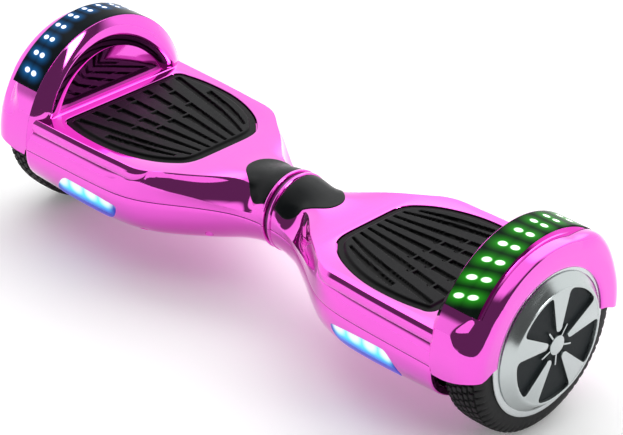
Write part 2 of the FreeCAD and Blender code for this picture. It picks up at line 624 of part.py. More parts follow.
keep("right_tyre", turned("right_tyre_body", [
    ("tyre_start", "tyre_inner"), ("tyre_start", "75"), ("tyre_start + 0.9", "78.4"),
    ("tyre_start + 3.4", "80.4"), ("tyre_start + 5.2", "tyre_radius - 1.2"), ("tyre_start + 8", "tyre_radius"),
    ("tyre_start + 12", "tyre_radius"), ("tyre_start + 12.6", "tyre_radius - 2"),
    ("tyre_start + 15.4", "tyre_radius - 2"), ("tyre_start + 16", "tyre_radius"),
    ("tyre_end - 14.5", "tyre_radius"), ("tyre_end - 13.9", "tyre_radius - 2"),
    ("tyre_end - 11.1", "tyre_radius - 2"), ("tyre_end - 10.5", "tyre_radius"),
    ("tyre_end - 7", "tyre_radius"), ("tyre_end - 4.6", "tyre_radius - 1.2"), ("tyre_end - 3", "80.4"),
    ("tyre_end - 0.8", "78.4"), ("tyre_end", "75"), ("tyre_end", "tyre_inner")]))

rim_body = turned("right_rim_body", [
    ("rim_start", "rim_bore"), ("rim_start", "rim_lip"), ("tyre_start - 0.1", "rim_lip"),
    ("tyre_start - 0.1", "rim_drum"), ("tyre_end + 0.1", "rim_drum"), ("tyre_end + 0.1", "rim_lip"),
    ("rim_end", "rim_lip"), ("rim_end", "rim_bore"), ("magnet_start - 0.4", "rim_bore"),
    ("magnet_start - 0.4", "magnet_in - 0.6"), ("rim_start + 3.7", "magnet_in - 0.6"),
    ("rim_start + 3.7", "rim_bore")])
inner_cover = turned("right_inner_cover_body", [
    ("rim_start + 0.1", "axle_radius + 2.5"), ("rim_start + 0.1", "magnet_out - 0.1"),
    ("rim_start + 3.6", "magnet_out - 0.1"), ("rim_start + 3.6", "bearing_outer + 4"),
    ("bearing_inner_start + bearing_wide", "bearing_outer + 4"),
    ("bearing_inner_start + bearing_wide", "bearing_outer + 0.02"),
    ("bearing_inner_start", "bearing_outer + 0.02"), ("bearing_inner_start", "axle_radius + 2.5")])
hub_holes = []
hub_screws = []
for number in range(6):
    angle = math.radians(60 * number + 30)
    y = f"{54 * math.cos(angle):.4f}"
    z = f"axle_height + {54 * math.sin(angle):.4f}"
    hub_holes.append(rod(f"hub_hole_{number}", "x", "1.45", "rim_start - 2", "rim_start + 8", y, z))
    shank = rod(f"hub_shank_{number}", "x", "1.4", "rim_start - 0.4", "rim_start + 7", y, z)
    head = rod(f"hub_head_{number}", "x", "2.6", "rim_start - 1.1", "rim_start + 0.1", y, z)
    hub_screws.append(fuse(f"hub_screw_{number}", [shank, head]))
keep("right_rim", cut("right_rim_cut", rim_body, hub_holes))
keep("right_hub_cover_inner", cut("right_hub_cover_inner_cut", inner_cover, hub_holes))
keep("right_hub_screws", group("right_hub_screws_group", hub_screws))


def hub_star(outset, start, end):
    """Five wedge spokes, the centre disc and five thin rays of the hub cover."""
    depth = Vector(end - start, 0, 0)
    tip, root = size("spoke_tip"), size("spoke_root") + 2.6
    half_tip = size("spoke_tip_half") + outset
    half_root = size("spoke_root_half") + outset
    spoke = Part.Face(Part.makePolygon([
        Vector(start, -half_tip, height + tip), Vector(start, -half_root, height + root),
        Vector(start, half_root, height + root), Vector(start, half_tip, height + tip),
        Vector(start, -half_tip, height + tip)])).extrude(depth)
    nose = Part.makeCylinder(half_tip, end - start, Vector(start, 0, height + tip), Vector(1, 0, 0))
    ray = slab(start, end, -size("ray_width") / 2 - outset, size("ray_width") / 2 + outset, height,
               height + size("ray_length") + outset)
    disc = Part.makeCylinder(size("hub_centre") + outset, end - start, Vector(start, 0, height), Vector(1, 0, 0))
    pieces = []
    step = 360 / int(size("spoke_count"))
    for number in range(int(size("spoke_count"))):
        pieces += [about_axle(spoke.fuse(nose), 90 + step * number),
                   about_axle(ray, 90 + step * (number + 0.5))]
    return disc.multiFuse(pieces)


window = size("window_floor")
hub_shell = turned("hub_shell_body", [
    ("hub_face", "window_radius"), ("hub_face", "hub_disc - 0.6"), ("hub_face - 0.5", "hub_disc + 0.2"),
    ("hub_face - 2.2", "hub_disc + 1.8"), ("288", "55.6"), ("286", "57.6"), ("284.2", "59.6"),
    ("283.6", "60.6"), ("rim_end + 0.1", "60.6"), ("rim_end + 0.1", "magnet_out"), ("279", "magnet_out"),
    ("279", "magnet_out - 3"), ("284.8", "magnet_out - 3"), ("284.8", "bearing_outer + 4"),
    ("bearing_outer_start", "bearing_outer + 4"), ("bearing_outer_start", "bearing_outer + 0.02"),
    ("bearing_outer_start + bearing_wide", "bearing_outer + 0.02"),
    ("bearing_outer_start + bearing_wide", "10"), ("285.4", "10"), ("285.4", "0"),
    ("window_floor", "0"), ("window_floor", "window_radius")])
star = hub_star(0, window - 0.3, size("hub_face") - 0.4)
star_bounds = Part.makeCylinder(size("window_radius") + 0.4, 20, Vector(280, 0, height), Vector(1, 0, 0))
star_item = shaped("hub_star_shape", star.common(star_bounds))
keep("right_hub_cover_outer", fuse("right_hub_cover_outer_solid", [hub_shell, star_item]))
insert_disc = Part.makeCylinder(size("window_radius") - 0.1, size("hub_insert_top") - window - 0.05,
                                Vector(window + 0.05, 0, height), Vector(1, 0, 0))
insert = insert_disc.cut(hub_star(0.1, window - 1, size("hub_face")))
keep("right_hub_insert", shaped("right_hub_insert_shape", insert))

stator_from, stator_to = size("stator_start"), size("stator_start") + size("stator_wide")
core = wheel_ring([(stator_from, size("stator_bore")), (stator_from, size("stator_hub")),
                   (stator_to, size("stator_hub")), (stator_to, size("stator_bore"))])
tooth_half = size("tooth_wide") / 2
tooth = slab(stator_from, stator_to, -tooth_half, tooth_half, height + size("stator_hub") - 1,
             height + size("coil_out") + 3.2)
tip_round = Part.makeCylinder(size("stator_radius"), 40, Vector(240, 0, height), Vector(1, 0, 0))
tip = slab(stator_from, stator_to, -size("tooth_tip_wide") / 2, size("tooth_tip_wide") / 2,
           height + size("coil_out") + 2.4, height + 60).common(tip_round)
coil = slab(stator_from - 2, stator_to + 2, -size("coil_wide") / 2 + 0.6, size("coil_wide") / 2 - 0.6,
            height + size("coil_in"), height + size("coil_out"))
coil = coil.cut(slab(stator_from - 0.05, stator_to + 0.05, -tooth_half - 0.05, tooth_half + 0.05, 0, 300))
teeth, coils = [], []
for number in range(int(size("teeth"))):
    angle = 90 + number * 360 / size("teeth")
    teeth.append(about_axle(tooth.fuse(tip), angle))
    coils.append(about_axle(coil, angle))
keep("right_stator", shaped("right_stator_shape", core.multiFuse(teeth)))
keep("right_windings", shaped("right_windings_shape", Part.makeCompound(coils)))
magnet_from, magnet_to = size("magnet_start"), size("magnet_start") + size("magnet_wide")
magnet_pitch = 360 / size("magnets")
magnets = [wheel_ring([(magnet_from, size("magnet_in")), (magnet_from, size("magnet_out")),
                       (magnet_to, size("magnet_out")), (magnet_to, size("magnet_in"))],
                      number * magnet_pitch + 1.2, (number + 1) * magnet_pitch - 1.2)
           for number in range(int(size("magnets")))]
keep("right_magnets", shaped("right_magnets_shape", Part.makeCompound(magnets)))

screws = []
for x, y in POSTS:
    seat_z = floor_at[(x, y)] + 7
    head = Part.makeCylinder(size("screw_head"), 2.2, Vector(x, y, seat_z - 2.2))
    shank = Part.makeCylinder(size("screw_radius"), 96 - seat_z + 0.5, Vector(x, y, seat_z - 0.5))
    screws.append(head.fuse(shank))
keep("right_shell_screws", shaped("right_shell_screws_shape", Part.makeCompound(screws)))

PAIRS = ["center_trim", "foot_pad", "led_lens", "led_board", "led_chips", "headlight_lens",
         "headlight_board", "axle_clamp", "clamp_bolts", "sensor_board", "axle", "bearings", "tyre", "rim",
         "hub_cover_inner", "hub_cover_outer", "hub_insert", "hub_screws", "stator", "windings", "magnets",
         "shell_screws"]
for name in PAIRS:
    keep(f"left_{name}", mirrored(f"left_{name}_mirror", parts[f"right_{name}"]))

shaft = rod("shaft_bar", "x", "shaft_radius", "-shaft_half", "shaft_half + 2", "0", "axle_height")
clip_groove = cut("clip_groove", rod("groove_outer", "x", "shaft_radius + 2", "boss_far + 0.4",
                                     "boss_far + 1.7", "0", "axle_height"),
                  [rod("groove_inner", "x", "shaft_radius - 1", "boss_far", "boss_far + 3", "0", "axle_height")])
keep("pivot_shaft", cut("pivot_shaft_cut", shaft, [clip_groove]))
clip_ring = cut("clip_ring", rod("clip_outer", "x", "shaft_radius + 3", "boss_far + 0.5", "boss_far + 1.6",
                                 "0", "axle_height"),
                [rod("clip_bore", "x", "shaft_radius - 0.95", "boss_far", "boss_far + 3", "0", "axle_height")])
clip_mouth = box("clip_mouth", "boss_far", "boss_far + 3", "-4", "4", "axle_height - 20", "axle_height - 5")
keep("shaft_circlip", cut("shaft_circlip_cut", clip_ring, [clip_mouth]))
bushes = []
for number, start in enumerate(("boss_near + 1", "boss_far - 17")):
    sleeve = rod(f"bush_sleeve_{number}", "x", "bush_outer", start, f"{start} + 16", "0", "axle_height")
    opening = rod(f"bush_opening_{number}", "x", "shaft_radius + bush_fit", f"{start} - 1",
                  f"{start} + 17", "0", "axle_height")
    bushes.append(cut(f"bush_{number}", sleeve, [opening]))
keep("pivot_bushes", group("pivot_bushes_group", bushes))
washer_disc = rod("washer_disc", "x", "boss_radius", "-boss_near + 0.02", "boss_near - 0.3", "0", "axle_height")
washer_hole = rod("washer_hole", "x", "shaft_radius + 0.1", "-9", "9", "0", "axle_height")
keep("thrust_washer", cut("thrust_washer_cut", washer_disc, [washer_hole]))
ring_disc = rod("ring_disc", "x", "ring_radius", "-ring_half", "ring_half", "0", "axle_height")
ring_hole = rod("ring_hole", "x", "ring_bore", "-9", "9", "0", "axle_height")
keep("pivot_ring", cut("pivot_ring_cut", ring_disc, [ring_hole]))


def padded(name, x0, x1, y0, y1, z0, z1, corner):
    """A block with rounded long edges, drawn on the ground plane and padded up."""
    import Sketcher
    body = doc.addObject("PartDesign::Body", name)
    place(body, z=z0)
    sketch = body.newObject("Sketcher::SketchObject", name + "_outline")
    sketch.AttachmentSupport = [(plane(body, "XY_Plane"), "")]
    sketch.MapMode = "FlatFace"
    words = [(x0, y0), (x1, y0), (x1, y1), (x0, y1)]
    guess = [tuple(float(doc.Sizes.evalExpression(formula(part))) for part in pair) for pair in words]
    for number in range(4):
        sketch.addGeometry(Part.LineSegment(Vector(*guess[number], 0), Vector(*guess[(number + 1) % 4], 0)), False)
    for number in range(4):
        sketch.addConstraint(Sketcher.Constraint("Coincident", number, 2, (number + 1) % 4, 1))
    for number, ((x_words, y_words), (x, y)) in enumerate(zip(words, guess)):
        for kind, value, text in (("DistanceX", x, x_words), ("DistanceY", y, y_words)):
            where = sketch.addConstraint(Sketcher.Constraint(kind, -1, 1, number, 1, value))
            sketch.setExpression(f"Constraints[{where}]", formula(text))
    pad = body.newObject("PartDesign::Pad", name + "_pad")
    pad.Profile = sketch
    bind(pad, Length=f"({z1}) - ({z0})")
    sketch.Visibility = False
    doc.recompute()
    upright = [f"Edge{number + 1}" for number, edge in enumerate(pad.Shape.Edges)
               if abs(edge.BoundBox.ZLength) > 1]
    soft = body.newObject("PartDesign::Fillet", name + "_corners")
    soft.Base = (pad, upright)
    soft.Radius = corner
    body.Tip = soft
    doc.recompute()
    return body


battery = padded("battery_body", "battery_start", "battery_end", "-battery_half", "battery_half",
                 "battery_bottom", "battery_top", 8)
keep("battery_pack", mirrored("battery_pack_mirror", battery))

main_plate = box("main_plate", "main_start", "main_end", "-main_half", "main_half", "main_z",
                 "main_z + board_thick")
capacitors = [rod(f"capacitor_{number}", "z", "5", "main_z + 1", "main_z + 13", x, y)
              for number, (x, y) in enumerate([("104", "18"), ("118", "18"), ("132", "18")])]
transistors = [box(f"transistor_{number}", f"{100 + number * 11}", f"{108 + number * 11}", "-30", "-26",
                   "main_z + 1", "main_z + 12") for number in range(6)]
chips_on_board = [box(f"board_chip_{number}", f"{x} - 6", f"{x} + 6", "-12", "0", "main_z + 1", "main_z + 3.2")
                  for number, x in enumerate((110, 150))]
keep("main_board", fuse("main_board_solid", [main_plate] + capacitors + transistors + chips_on_board))

port_plug = rod("port_plug", "y", "port_body", "port_face - port_depth - 2", "port_face - 0.1", "port_x", "port_z")
port_mouth = rod("port_mouth", "y", "port_bore", "port_face - port_depth", "port_face + 2", "port_x", "port_z")
keep("charge_port", cut("charge_port_cut", port_plug, [port_mouth]))
cap_disc = rod("cap_disc", "y", "port_body + 0.8", "port_face + 0.3", "port_face + cap_thick", "port_x", "port_z")
cap_tab = box("cap_tab", "port_x - 3.4", "port_x + 3.4", "port_face + 0.35", "port_face + 1.9",
              "port_z + 6", "port_z + 11")
cap_barrel = rod("cap_barrel", "x", "0.8", "port_x - 4.0", "port_x + 4.0", "port_face + 1.15", "port_z + 11.1")
cap_pin = rod("cap_pin", "x", "0.6", "port_x - 6.8", "port_x + 6.8", "port_face + 1.15", "port_z + 11.1")
keep("charge_cap", fuse("charge_cap_solid", [cap_disc, cap_tab, cap_barrel, cap_pin]))
button_body = rod("button_body", "y", "button_radius", "82.2", "button_face", "button_x", "port_z")
keep("power_button", button_body)

doc.recompute()
for item in doc.Objects:
    if "Invalid" in item.State or "Error" in item.State:
        raise SystemExit(f"object in error: {item.Name} {item.State}")
os.makedirs("parts", exist_ok=True)
for label, item in parts.items():
    shape = item.Shape
    if shape.isNull() or not shape.isValid() or not shape.Solids:
        raise SystemExit(f"bad shape: {label}")
    shape.exportStep(f"parts/{label}.step")
    print(label, len(shape.Solids), round(shape.Volume / 1000, 1))
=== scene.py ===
import collections
import functools
import math

import bmesh
import bpy
import numpy as np
from mathutils import Matrix, Vector
from mathutils.geometry import tessellate_polygon


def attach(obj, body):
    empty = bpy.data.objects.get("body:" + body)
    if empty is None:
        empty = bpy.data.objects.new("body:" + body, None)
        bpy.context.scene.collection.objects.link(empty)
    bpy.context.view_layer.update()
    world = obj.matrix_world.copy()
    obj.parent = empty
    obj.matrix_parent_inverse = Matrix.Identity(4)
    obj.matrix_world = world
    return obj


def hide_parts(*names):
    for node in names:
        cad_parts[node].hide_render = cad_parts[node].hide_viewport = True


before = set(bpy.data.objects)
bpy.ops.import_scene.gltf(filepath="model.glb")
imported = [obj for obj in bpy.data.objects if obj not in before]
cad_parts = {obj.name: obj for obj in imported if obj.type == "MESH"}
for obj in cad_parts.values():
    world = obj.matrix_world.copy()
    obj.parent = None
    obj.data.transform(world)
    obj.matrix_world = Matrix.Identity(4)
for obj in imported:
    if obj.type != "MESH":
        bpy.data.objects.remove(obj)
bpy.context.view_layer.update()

MM = 0.001
AXLE_Z = 84.0
PARTING_Z = 81.0
# the upper and lower shells each stand this far off the parting line, and this far where they round off
HALF_GAP = 0.15
LIP_HEIGHT = 0.45
DECK_Z = 110.0
SIDES = {"right": 1, "left": -1}
# points closer than this become one
MERGE = 0.004

# ---------------------------------------------------------------- mesh helpers


class Builder:
    """Collects points and faces of one side's piece; left pieces come out mirrored in X."""

    def __init__(self):
        self.points = []
        self.faces = []

    def add(self, points):
        start = len(self.points)
        self.points.extend([tuple(p) for p in points])
        return list(range(start, start + len(points)))

    def grid(self, rows, closed=False):
        """Quads between rows of points, each row the same length; returns the index rows."""
        index = [self.add(row) for row in rows]
        self.join(index, closed)
        return index

    def join(self, index, closed=False):
        for low, high in zip(index, index[1:]):
            count = len(low)
            for number in range(count if closed else count - 1):
                after = (number + 1) % count
                self.faces.append([low[number], low[after], high[after], high[number]])

    def cap(self, loops):
        """Fill of an outline (and its holes) given as index loops."""
        flat = [[Vector(self.points[i]) for i in loop] for loop in loops]
        order = [i for loop in loops for i in loop]
        for triangle in tessellate_polygon(flat):
            self.faces.append([order[i] for i in triangle])

    def fan(self, loop, point):
        """Triangles from a closed loop to one point in its middle."""
        middle = self.add([point])[0]
        for number, corner in enumerate(loop):
            self.faces.append([corner, loop[(number + 1) % len(loop)], middle])

    def finish(self, name, side, sharp):
        """The piece as an object, with doubled points merged and faces turned outwards."""
        points = [(x * SIDES[side] * MM, y * MM, z * MM) for x, y, z in self.points]
        mesh = bpy.data.meshes.new(name)
        mesh.from_pydata(points, [], self.faces)
        work = bmesh.new()
        work.from_mesh(mesh)
        bmesh.ops.remove_doubles(work, verts=work.verts, dist=MERGE * MM)
        bmesh.ops.dissolve_degenerate(work, dist=MERGE * MM, edges=work.edges)
        bmesh.ops.recalc_face_normals(work, faces=work.faces)
        middle = sum((v.co for v in work.verts), Vector()) / max(len(work.verts), 1)
        lean = sum(f.normal.dot(f.calc_center_median() - middle) * f.calc_area() for f in work.faces)
        if lean < 0:
            bmesh.ops.reverse_faces(work, faces=work.faces)
        work.to_mesh(mesh)
        work.free()
        mesh.polygons.foreach_set("use_smooth", [True] * len(mesh.polygons))
        mesh.set_sharp_from_angle(angle=math.radians(sharp))
        item = bpy.data.objects.new(name, mesh)
        bpy.context.scene.collection.objects.link(item)
        return item


def polar(radius, degrees):
    """Point (a, b) at a radius and an angle from the first axis."""
    lean = math.radians(degrees)
    return radius * math.cos(lean), radius * math.sin(lean)


def smoothstep(low, high, value):
    share = np.clip((value - low) / (high - low), 0.0, 1.0)
    return share * share * (3 - 2 * share)


def mix(a, b, share):
    return a + (b - a) * share


def run_lengths(points):
    """Length along a chain of points up to each of them."""
    steps = np.diff(np.array(points, float), axis=0)
    return np.concatenate([[0], np.cumsum(np.linalg.norm(steps, axis=1))])


def spline(nodes, values):
    """Natural cubic spline through the nodes, as a function."""
    nodes, values = np.array(nodes, float), np.array(values, float)
    count = len(nodes)
    gap = np.diff(nodes)
    matrix, right = np.zeros((count, count)), np.zeros(count)
    matrix[0, 0] = matrix[-1, -1] = 1
    for i in range(1, count - 1):
        matrix[i, i - 1], matrix[i, i], matrix[i, i + 1] = gap[i - 1], 2 * (gap[i - 1] + gap[i]), gap[i]
        right[i] = 6 * ((values[i + 1] - values[i]) / gap[i] - (values[i] - values[i - 1]) / gap[i - 1])
    bend = np.linalg.solve(matrix, right)

    def at(x):
        i = np.clip(np.searchsorted(nodes, x) - 1, 0, count - 2)
        h = gap[i]
        a, b = (nodes[i + 1] - x) / h, (x - nodes[i]) / h
        return (a * values[i] + b * values[i + 1]
                + ((a ** 3 - a) * bend[i] + (b ** 3 - b) * bend[i + 1]) * h * h / 6)

    return at


# ---------------------------------------------------------------- half body surface

Section = collections.namedtuple(
    "Section", "edge_y edge_z crown_z crease_y crease_z bow waist_y floor_z roundness")

# x, then the values of one Section: deck edge half width and height, crown height, crease half width
# and height, bow of the flank above the crease, waist half width, floor height, roundness below
STATIONS = [
    (2.5, 27.0, 105.5, 118.5, 34.3, 88.5, 1.6, 34.4, 49.5, 2.0),
    (12.0, 26.5, 105.0, 117.7, 34.7, 88.3, 1.2, 35.0, 49.3, 2.0),
    (24.0, 24.0, 105.6, 115.0, 36.8, 87.0, -1.2, 37.0, 47.5, 2.05),
    (40.0, 27.0, 108.2, 111.4, 43.4, 87.4, -2.6, 42.6, 43.5, 2.1),
    (54.0, 38.6, 109.5, 110.2, 51.6, 89.6, -2.6, 50.2, 39.6, 2.25),
    (68.0, 51.6, 109.9, 110.0, 60.6, 92.4, -2.0, 58.8, 36.6, 2.4),
    (86.0, 65.6, 110.0, 110.0, 72.4, 95.4, -1.4, 71.0, 33.8, 2.55),
    (106.0, 79.6, 110.0, 110.0, 82.8, 98.4, -0.5, 82.8, 31.8, 2.7),
    (128.0, 83.2, 110.0, 110.0, 88.2, 100.2, 0.6, 89.6, 31.0, 2.8),
    (152.0, 84.4, 110.0, 110.0, 90.2, 101.0, 1.2, 91.9, 30.8, 2.85),
    (196.0, 85.6, 110.0, 110.0, 91.4, 101.0, 1.4, 93.1, 31.2, 2.75),
    (243.0, 86.2, 110.0, 110.0, 92.2, 101.0, 1.4, 94.0, 32.0, 2.5),
]
NODES = [row[0] for row in STATIONS]
CURVES = [spline(NODES, [row[column] for row in STATIONS]) for column in range(1, 10)]
FLAT_FROM = 84.0
CROWN_LIMIT = 118.5
TONGUE_TIP, TONGUE_LENGTH = 100.8, 17.0
# the first points of an outline lie this far inside the deck edge
EDGE_INSET = 2.2


@functools.lru_cache(maxsize=None)
def station(x):
    """The section of the body at one x."""
    here = Section(*(curve(x) for curve in CURVES))
    if x >= FLAT_FROM:
        here = here._replace(edge_z=DECK_Z, crown_z=DECK_Z)
    crown_z = min(max(here.crown_z, here.edge_z), CROWN_LIMIT)
    return here._replace(edge_z=min(here.edge_z, DECK_Z), crown_z=crown_z)


def crown_curve(x):
    """Height of the top between the deck edges, as a function of y."""
    here = station(x)
    rise = here.crown_z - here.edge_z
    if rise < 0.02:
        return lambda y: here.edge_z
    bend = (here.edge_y ** 2 + rise ** 2) / (2 * rise)
    return lambda y: here.crown_z - (bend - math.sqrt(max(bend ** 2 - y ** 2, 0)))


# the raised tongue beside the deck, from just inside the deck edge down to its undercut
RIDGE = [(-EDGE_INSET, 0.0), (-1.1, 0.0), (-0.35, -0.05), (0.1, -0.3), (0.35, -0.65), (0.75, -1.15),
         (1.2, -1.7), (1.7, -2.3), (2.5, -3.6), (3.1, -5.4), (3.4, -7.4), (3.42, -9.0), (3.25, -10.1),
         (2.95, -10.8), (2.9, -11.2), (3.3, -11.9)]
FLANK_ROWS = 12
LOWER_PARTS = 44
UPPER_FOOT = PARTING_Z + LIP_HEIGHT
LOWER_TOP = PARTING_Z - LIP_HEIGHT


def flank_base(x, z):
    """Half width of the plain flank, from the deck edge over the crease to the waist."""
    here = station(x)
    if z >= here.crease_z:
        along = (here.edge_z - z) / (here.edge_z - here.crease_z)
        return mix(here.edge_y, here.crease_y, along) + 4 * here.bow * along * (1 - along)
    along = min(1.0, (here.crease_z - z) / (here.crease_z - UPPER_FOOT))
    return mix(here.crease_y, here.waist_y, 2 * along - along ** 2)


def upper_half_outline(x):
    """Points (y, z) from just inside the deck edge down to the parting line, for positive y."""
    here = station(x)
    edge_y, edge_z = here.edge_y, here.edge_z
    crown = crown_curve(x)
    spots = [(edge_y + dy, crown(edge_y + dy)) for dy, dz in RIDGE[:3]]
    steps = len(RIDGE) - 3
    run_y, run_z = here.crease_y - edge_y, here.crease_z - edge_z
    length = math.hypot(run_y, run_z)
    gather = smoothstep(FLAT_FROM, TONGUE_TIP, x)
    rise = min(1.0, max(0.0, (x - TONGUE_TIP) / TONGUE_LENGTH))
    full = math.sqrt(1 - (1 - rise) ** 2)
    for part in range(steps):
        along = (part + 0.35) / (steps - 0.65)
        if x < FLAT_FROM:
            out = 4 * here.bow * along * (1 - along)
            spots.append((edge_y + run_y * along - run_z / length * out,
                          edge_z + run_z * along + run_y / length * out))
        elif x < TONGUE_TIP:
            z = mix(edge_z + run_z * along, edge_z, gather)
            spots.append((flank_base(x, z), z))
        else:
            dy, dz = RIDGE[part + 3]
            spots.append((edge_y + dy * full, edge_z + dz * full))
    start_y, start_z = spots[-1]
    inset = start_y - flank_base(x, start_z)
    for part in range(1, FLANK_ROWS + 1):
        along = part / FLANK_ROWS
        z = mix(start_z, UPPER_FOOT, along)
        spots.append((flank_base(x, z) + inset * (1 - along) ** 2, z))
    return spots + parting_lip(here.waist_y, 1)


def parting_lip(waist_y, up):
    """Rounded edge of a shell at the parting line: up is 1 for the upper shell, -1 for the lower."""
    return [(waist_y - draw, PARTING_Z + up * gap)
            for draw, gap in ((0.12, 0.24), (0.45, 0.16), (2.2, HALF_GAP))]


def lower_outline(x):
    """Points (y, z) of the whole lower shell section, from +y to -y."""
    here = station(x)
    spots = parting_lip(here.waist_y, -1)[::-1]
    power = 2 / here.roundness
    for part in range(LOWER_PARTS + 1):
        angle = math.pi * part / LOWER_PARTS
        across, down = math.cos(angle), math.sin(angle)
        spots.append((math.copysign(here.waist_y * abs(across) ** power, across),
                      LOWER_TOP - (LOWER_TOP - here.floor_z) * down ** power))
    spots += [(-y, z) for y, z in spots[2::-1]]
    return spots


def steps_between(low, high, step):
    count = max(2, int(round((high - low) / step)))
    return [low + (high - low) * number / count for number in range(count + 1)]


NECK_X = 4.8
BODY_END = 242.8
TOP_PARTS = 24
COLUMNS = (steps_between(NECK_X, FLAT_FROM, 1.6) + steps_between(FLAT_FROM, TONGUE_TIP, 2.0)[1:]
           + steps_between(TONGUE_TIP, 118.0, 0.6)[1:] + steps_between(118.0, BODY_END, 2.0)[1:])

# half of the pad's outline, from the wheel end round to the neck end
PAD_SIDE = [(224, 66.6), (209, 70.9), (195, 73.8), (172, 75.4), (152, 74.4), (134, 70.6), (116, 63.8),
            (103, 56.0), (95.8, 49.6), (90.6, 43.6), (87.7, 37.0), (86.4, 30.0), (86.0, 22.0)]
PAD_END = 217.4
PAD_CORNER = 9.0
LENGTH_NODES = run_lengths(PAD_SIDE)
PAD_X = spline(LENGTH_NODES, [x for x, y in PAD_SIDE])
PAD_Y = spline(LENGTH_NODES, [y for x, y in PAD_SIDE])


def pad_outline(inset, z):
    """Closed ring of points of the pad outline, drawn in by the inset, at one height."""
    end = PAD_END - inset
    corner = max(PAD_CORNER - inset, 2.5)
    samples = np.linspace(0, LENGTH_NODES[-1], 121)
    xs = np.array([PAD_X(t) for t in samples])
    ys = np.array([PAD_Y(t) for t in samples])
    dx, dy = np.gradient(xs), np.gradient(ys)
    length = np.hypot(dx, dy)
    xs, ys = xs - dy / length * inset, ys + dx / length * inset
    start = end - corner
    high = float(np.interp(-start, -xs, ys))
    reach = xs < start - 0.5
    kept_x = np.append(start - 0.5, xs[reach])
    kept_y = np.append(float(np.interp(0.5 - start, -xs, ys)), ys[reach])
    lengths = run_lengths(np.stack([kept_x, kept_y], axis=1))
    even = np.linspace(0, lengths[-1], 57)
    keep = list(zip(np.interp(even, lengths, kept_x), np.interp(even, lengths, kept_y)))
    half = []
    for number in range(9):
        angle = math.radians(90 * number / 8)
        half.append((start + corner * math.cos(angle), high - corner + corner * math.sin(angle)))
    half += keep
    side_x, side_y = half[-1]
    flat = [(side_x, side_y * (1 - number / 10)) for number in range(1, 11)]
    back = [(half[0][0], half[0][1] * number / 10) for number in range(10)]
    upper = back + half + flat[:-1]
    ring = upper + [(flat[-1][0], 0.0)] + [(x, -y) for x, y in reversed(upper[1:])]
    return [(x, y, z) for x, y in ring]


def deck_end(y):
    """How far the deck runs towards the wheel before the arch wall takes over."""
    return 234.4 + 4.8 * smoothstep(63, 78, abs(y))


def build_upper_skin(work):
    """Deck, flanks and pad well of one upper cover, without its wheel arch."""
    flank_front, flank_back, tops = [], [], []
    for x in COLUMNS:
        outline = upper_half_outline(x)
        flank_back.append(work.add([(x, y, z) for y, z in outline]))
        flank_front.append(work.add([(x, -y, z) for y, z in outline]))
    work.join(flank_back)
    work.join(flank_front)
    neck = [x for x in COLUMNS if x <= FLAT_FROM + 0.01]
    for x in neck:
        crown = crown_curve(x)
        reach = station(x).edge_y - EDGE_INSET
        row = [reach * (2 * part / TOP_PARTS - 1) for part in range(TOP_PARTS + 1)]
        tops.append(work.add([(x, y, crown(y)) for y in row]))
    work.join(tops)
    first_flat = len(neck) - 1
    last = next(number for number, x in enumerate(COLUMNS) if x >= 239.2)
    outer = list(tops[-1])
    outer += [row[0] for row in flank_back[first_flat + 1:last + 1]]
    outer += work.add([(deck_end(y), y, DECK_Z) for y in range(80, -81, -4)])
    outer += [row[0] for row in reversed(flank_front[first_flat + 1:last + 1])]
    rings = work.grid([pad_outline(inset, z) for inset, z in
                       ((-1.3, DECK_Z), (-0.75, DECK_Z - 0.12), (-0.45, DECK_Z - 0.5),
                        (-0.35, DECK_Z - 1.1), (-0.35, DECK_Z - 4.5), (6.0, DECK_Z - 4.5))], closed=True)
    work.cap([outer, rings[0]])


BEAD = [(225.0, -0.3), (225.5, 0.1), (226.4, 0.5), (227.6, 0.75), (228.9, 0.75), (230.1, 0.45),
        (231.0, 0.0)]


def build_bead(work):
    """Low rounded bead on the deck along the foot of the arch wall."""
    rows = []
    for y in steps_between(-82, 82, 4):
        size = 1 - smoothstep(70, 82, abs(y))
        rows.append([(x, y, DECK_Z - 0.3 + (rise + 0.3) * size) for x, rise in BEAD])
    work.grid(rows)


# ---------------------------------------------------------------- wheel arch

CROWN = 94.3
OUTER_FACE = 284.5
STRIP_FROM, STRIP_TO = 31.6, 148.4
STRIP_X = (239.4, 271.6)
WALL_FOOT, WALL_LEAN, WALL_RADIUS = 230.6, 0.137, 66.6
# share of the way from the flat wall to the crown's edge, at each radius
WALL_ROLL = [(66.4, 0.0), (66.6, 0.0), (66.9, -0.05), (68.0, -0.12), (70.0, -0.22), (73.0, -0.33),
             (76.0, -0.40), (79.0, -0.42), (80.5, -0.40), (81.0, -0.35), (82.5, -0.27), (84.5, -0.12),
             (86.5, 0.06), (88.5, 0.27), (90.3, 0.49), (92.0, 0.71), (93.3, 0.89), (94.15, 1.0)]
CROWN_EDGE_X = 239.1
# how deep the strip's seat lies below the crown
SEAT_DEPTH = 1.0
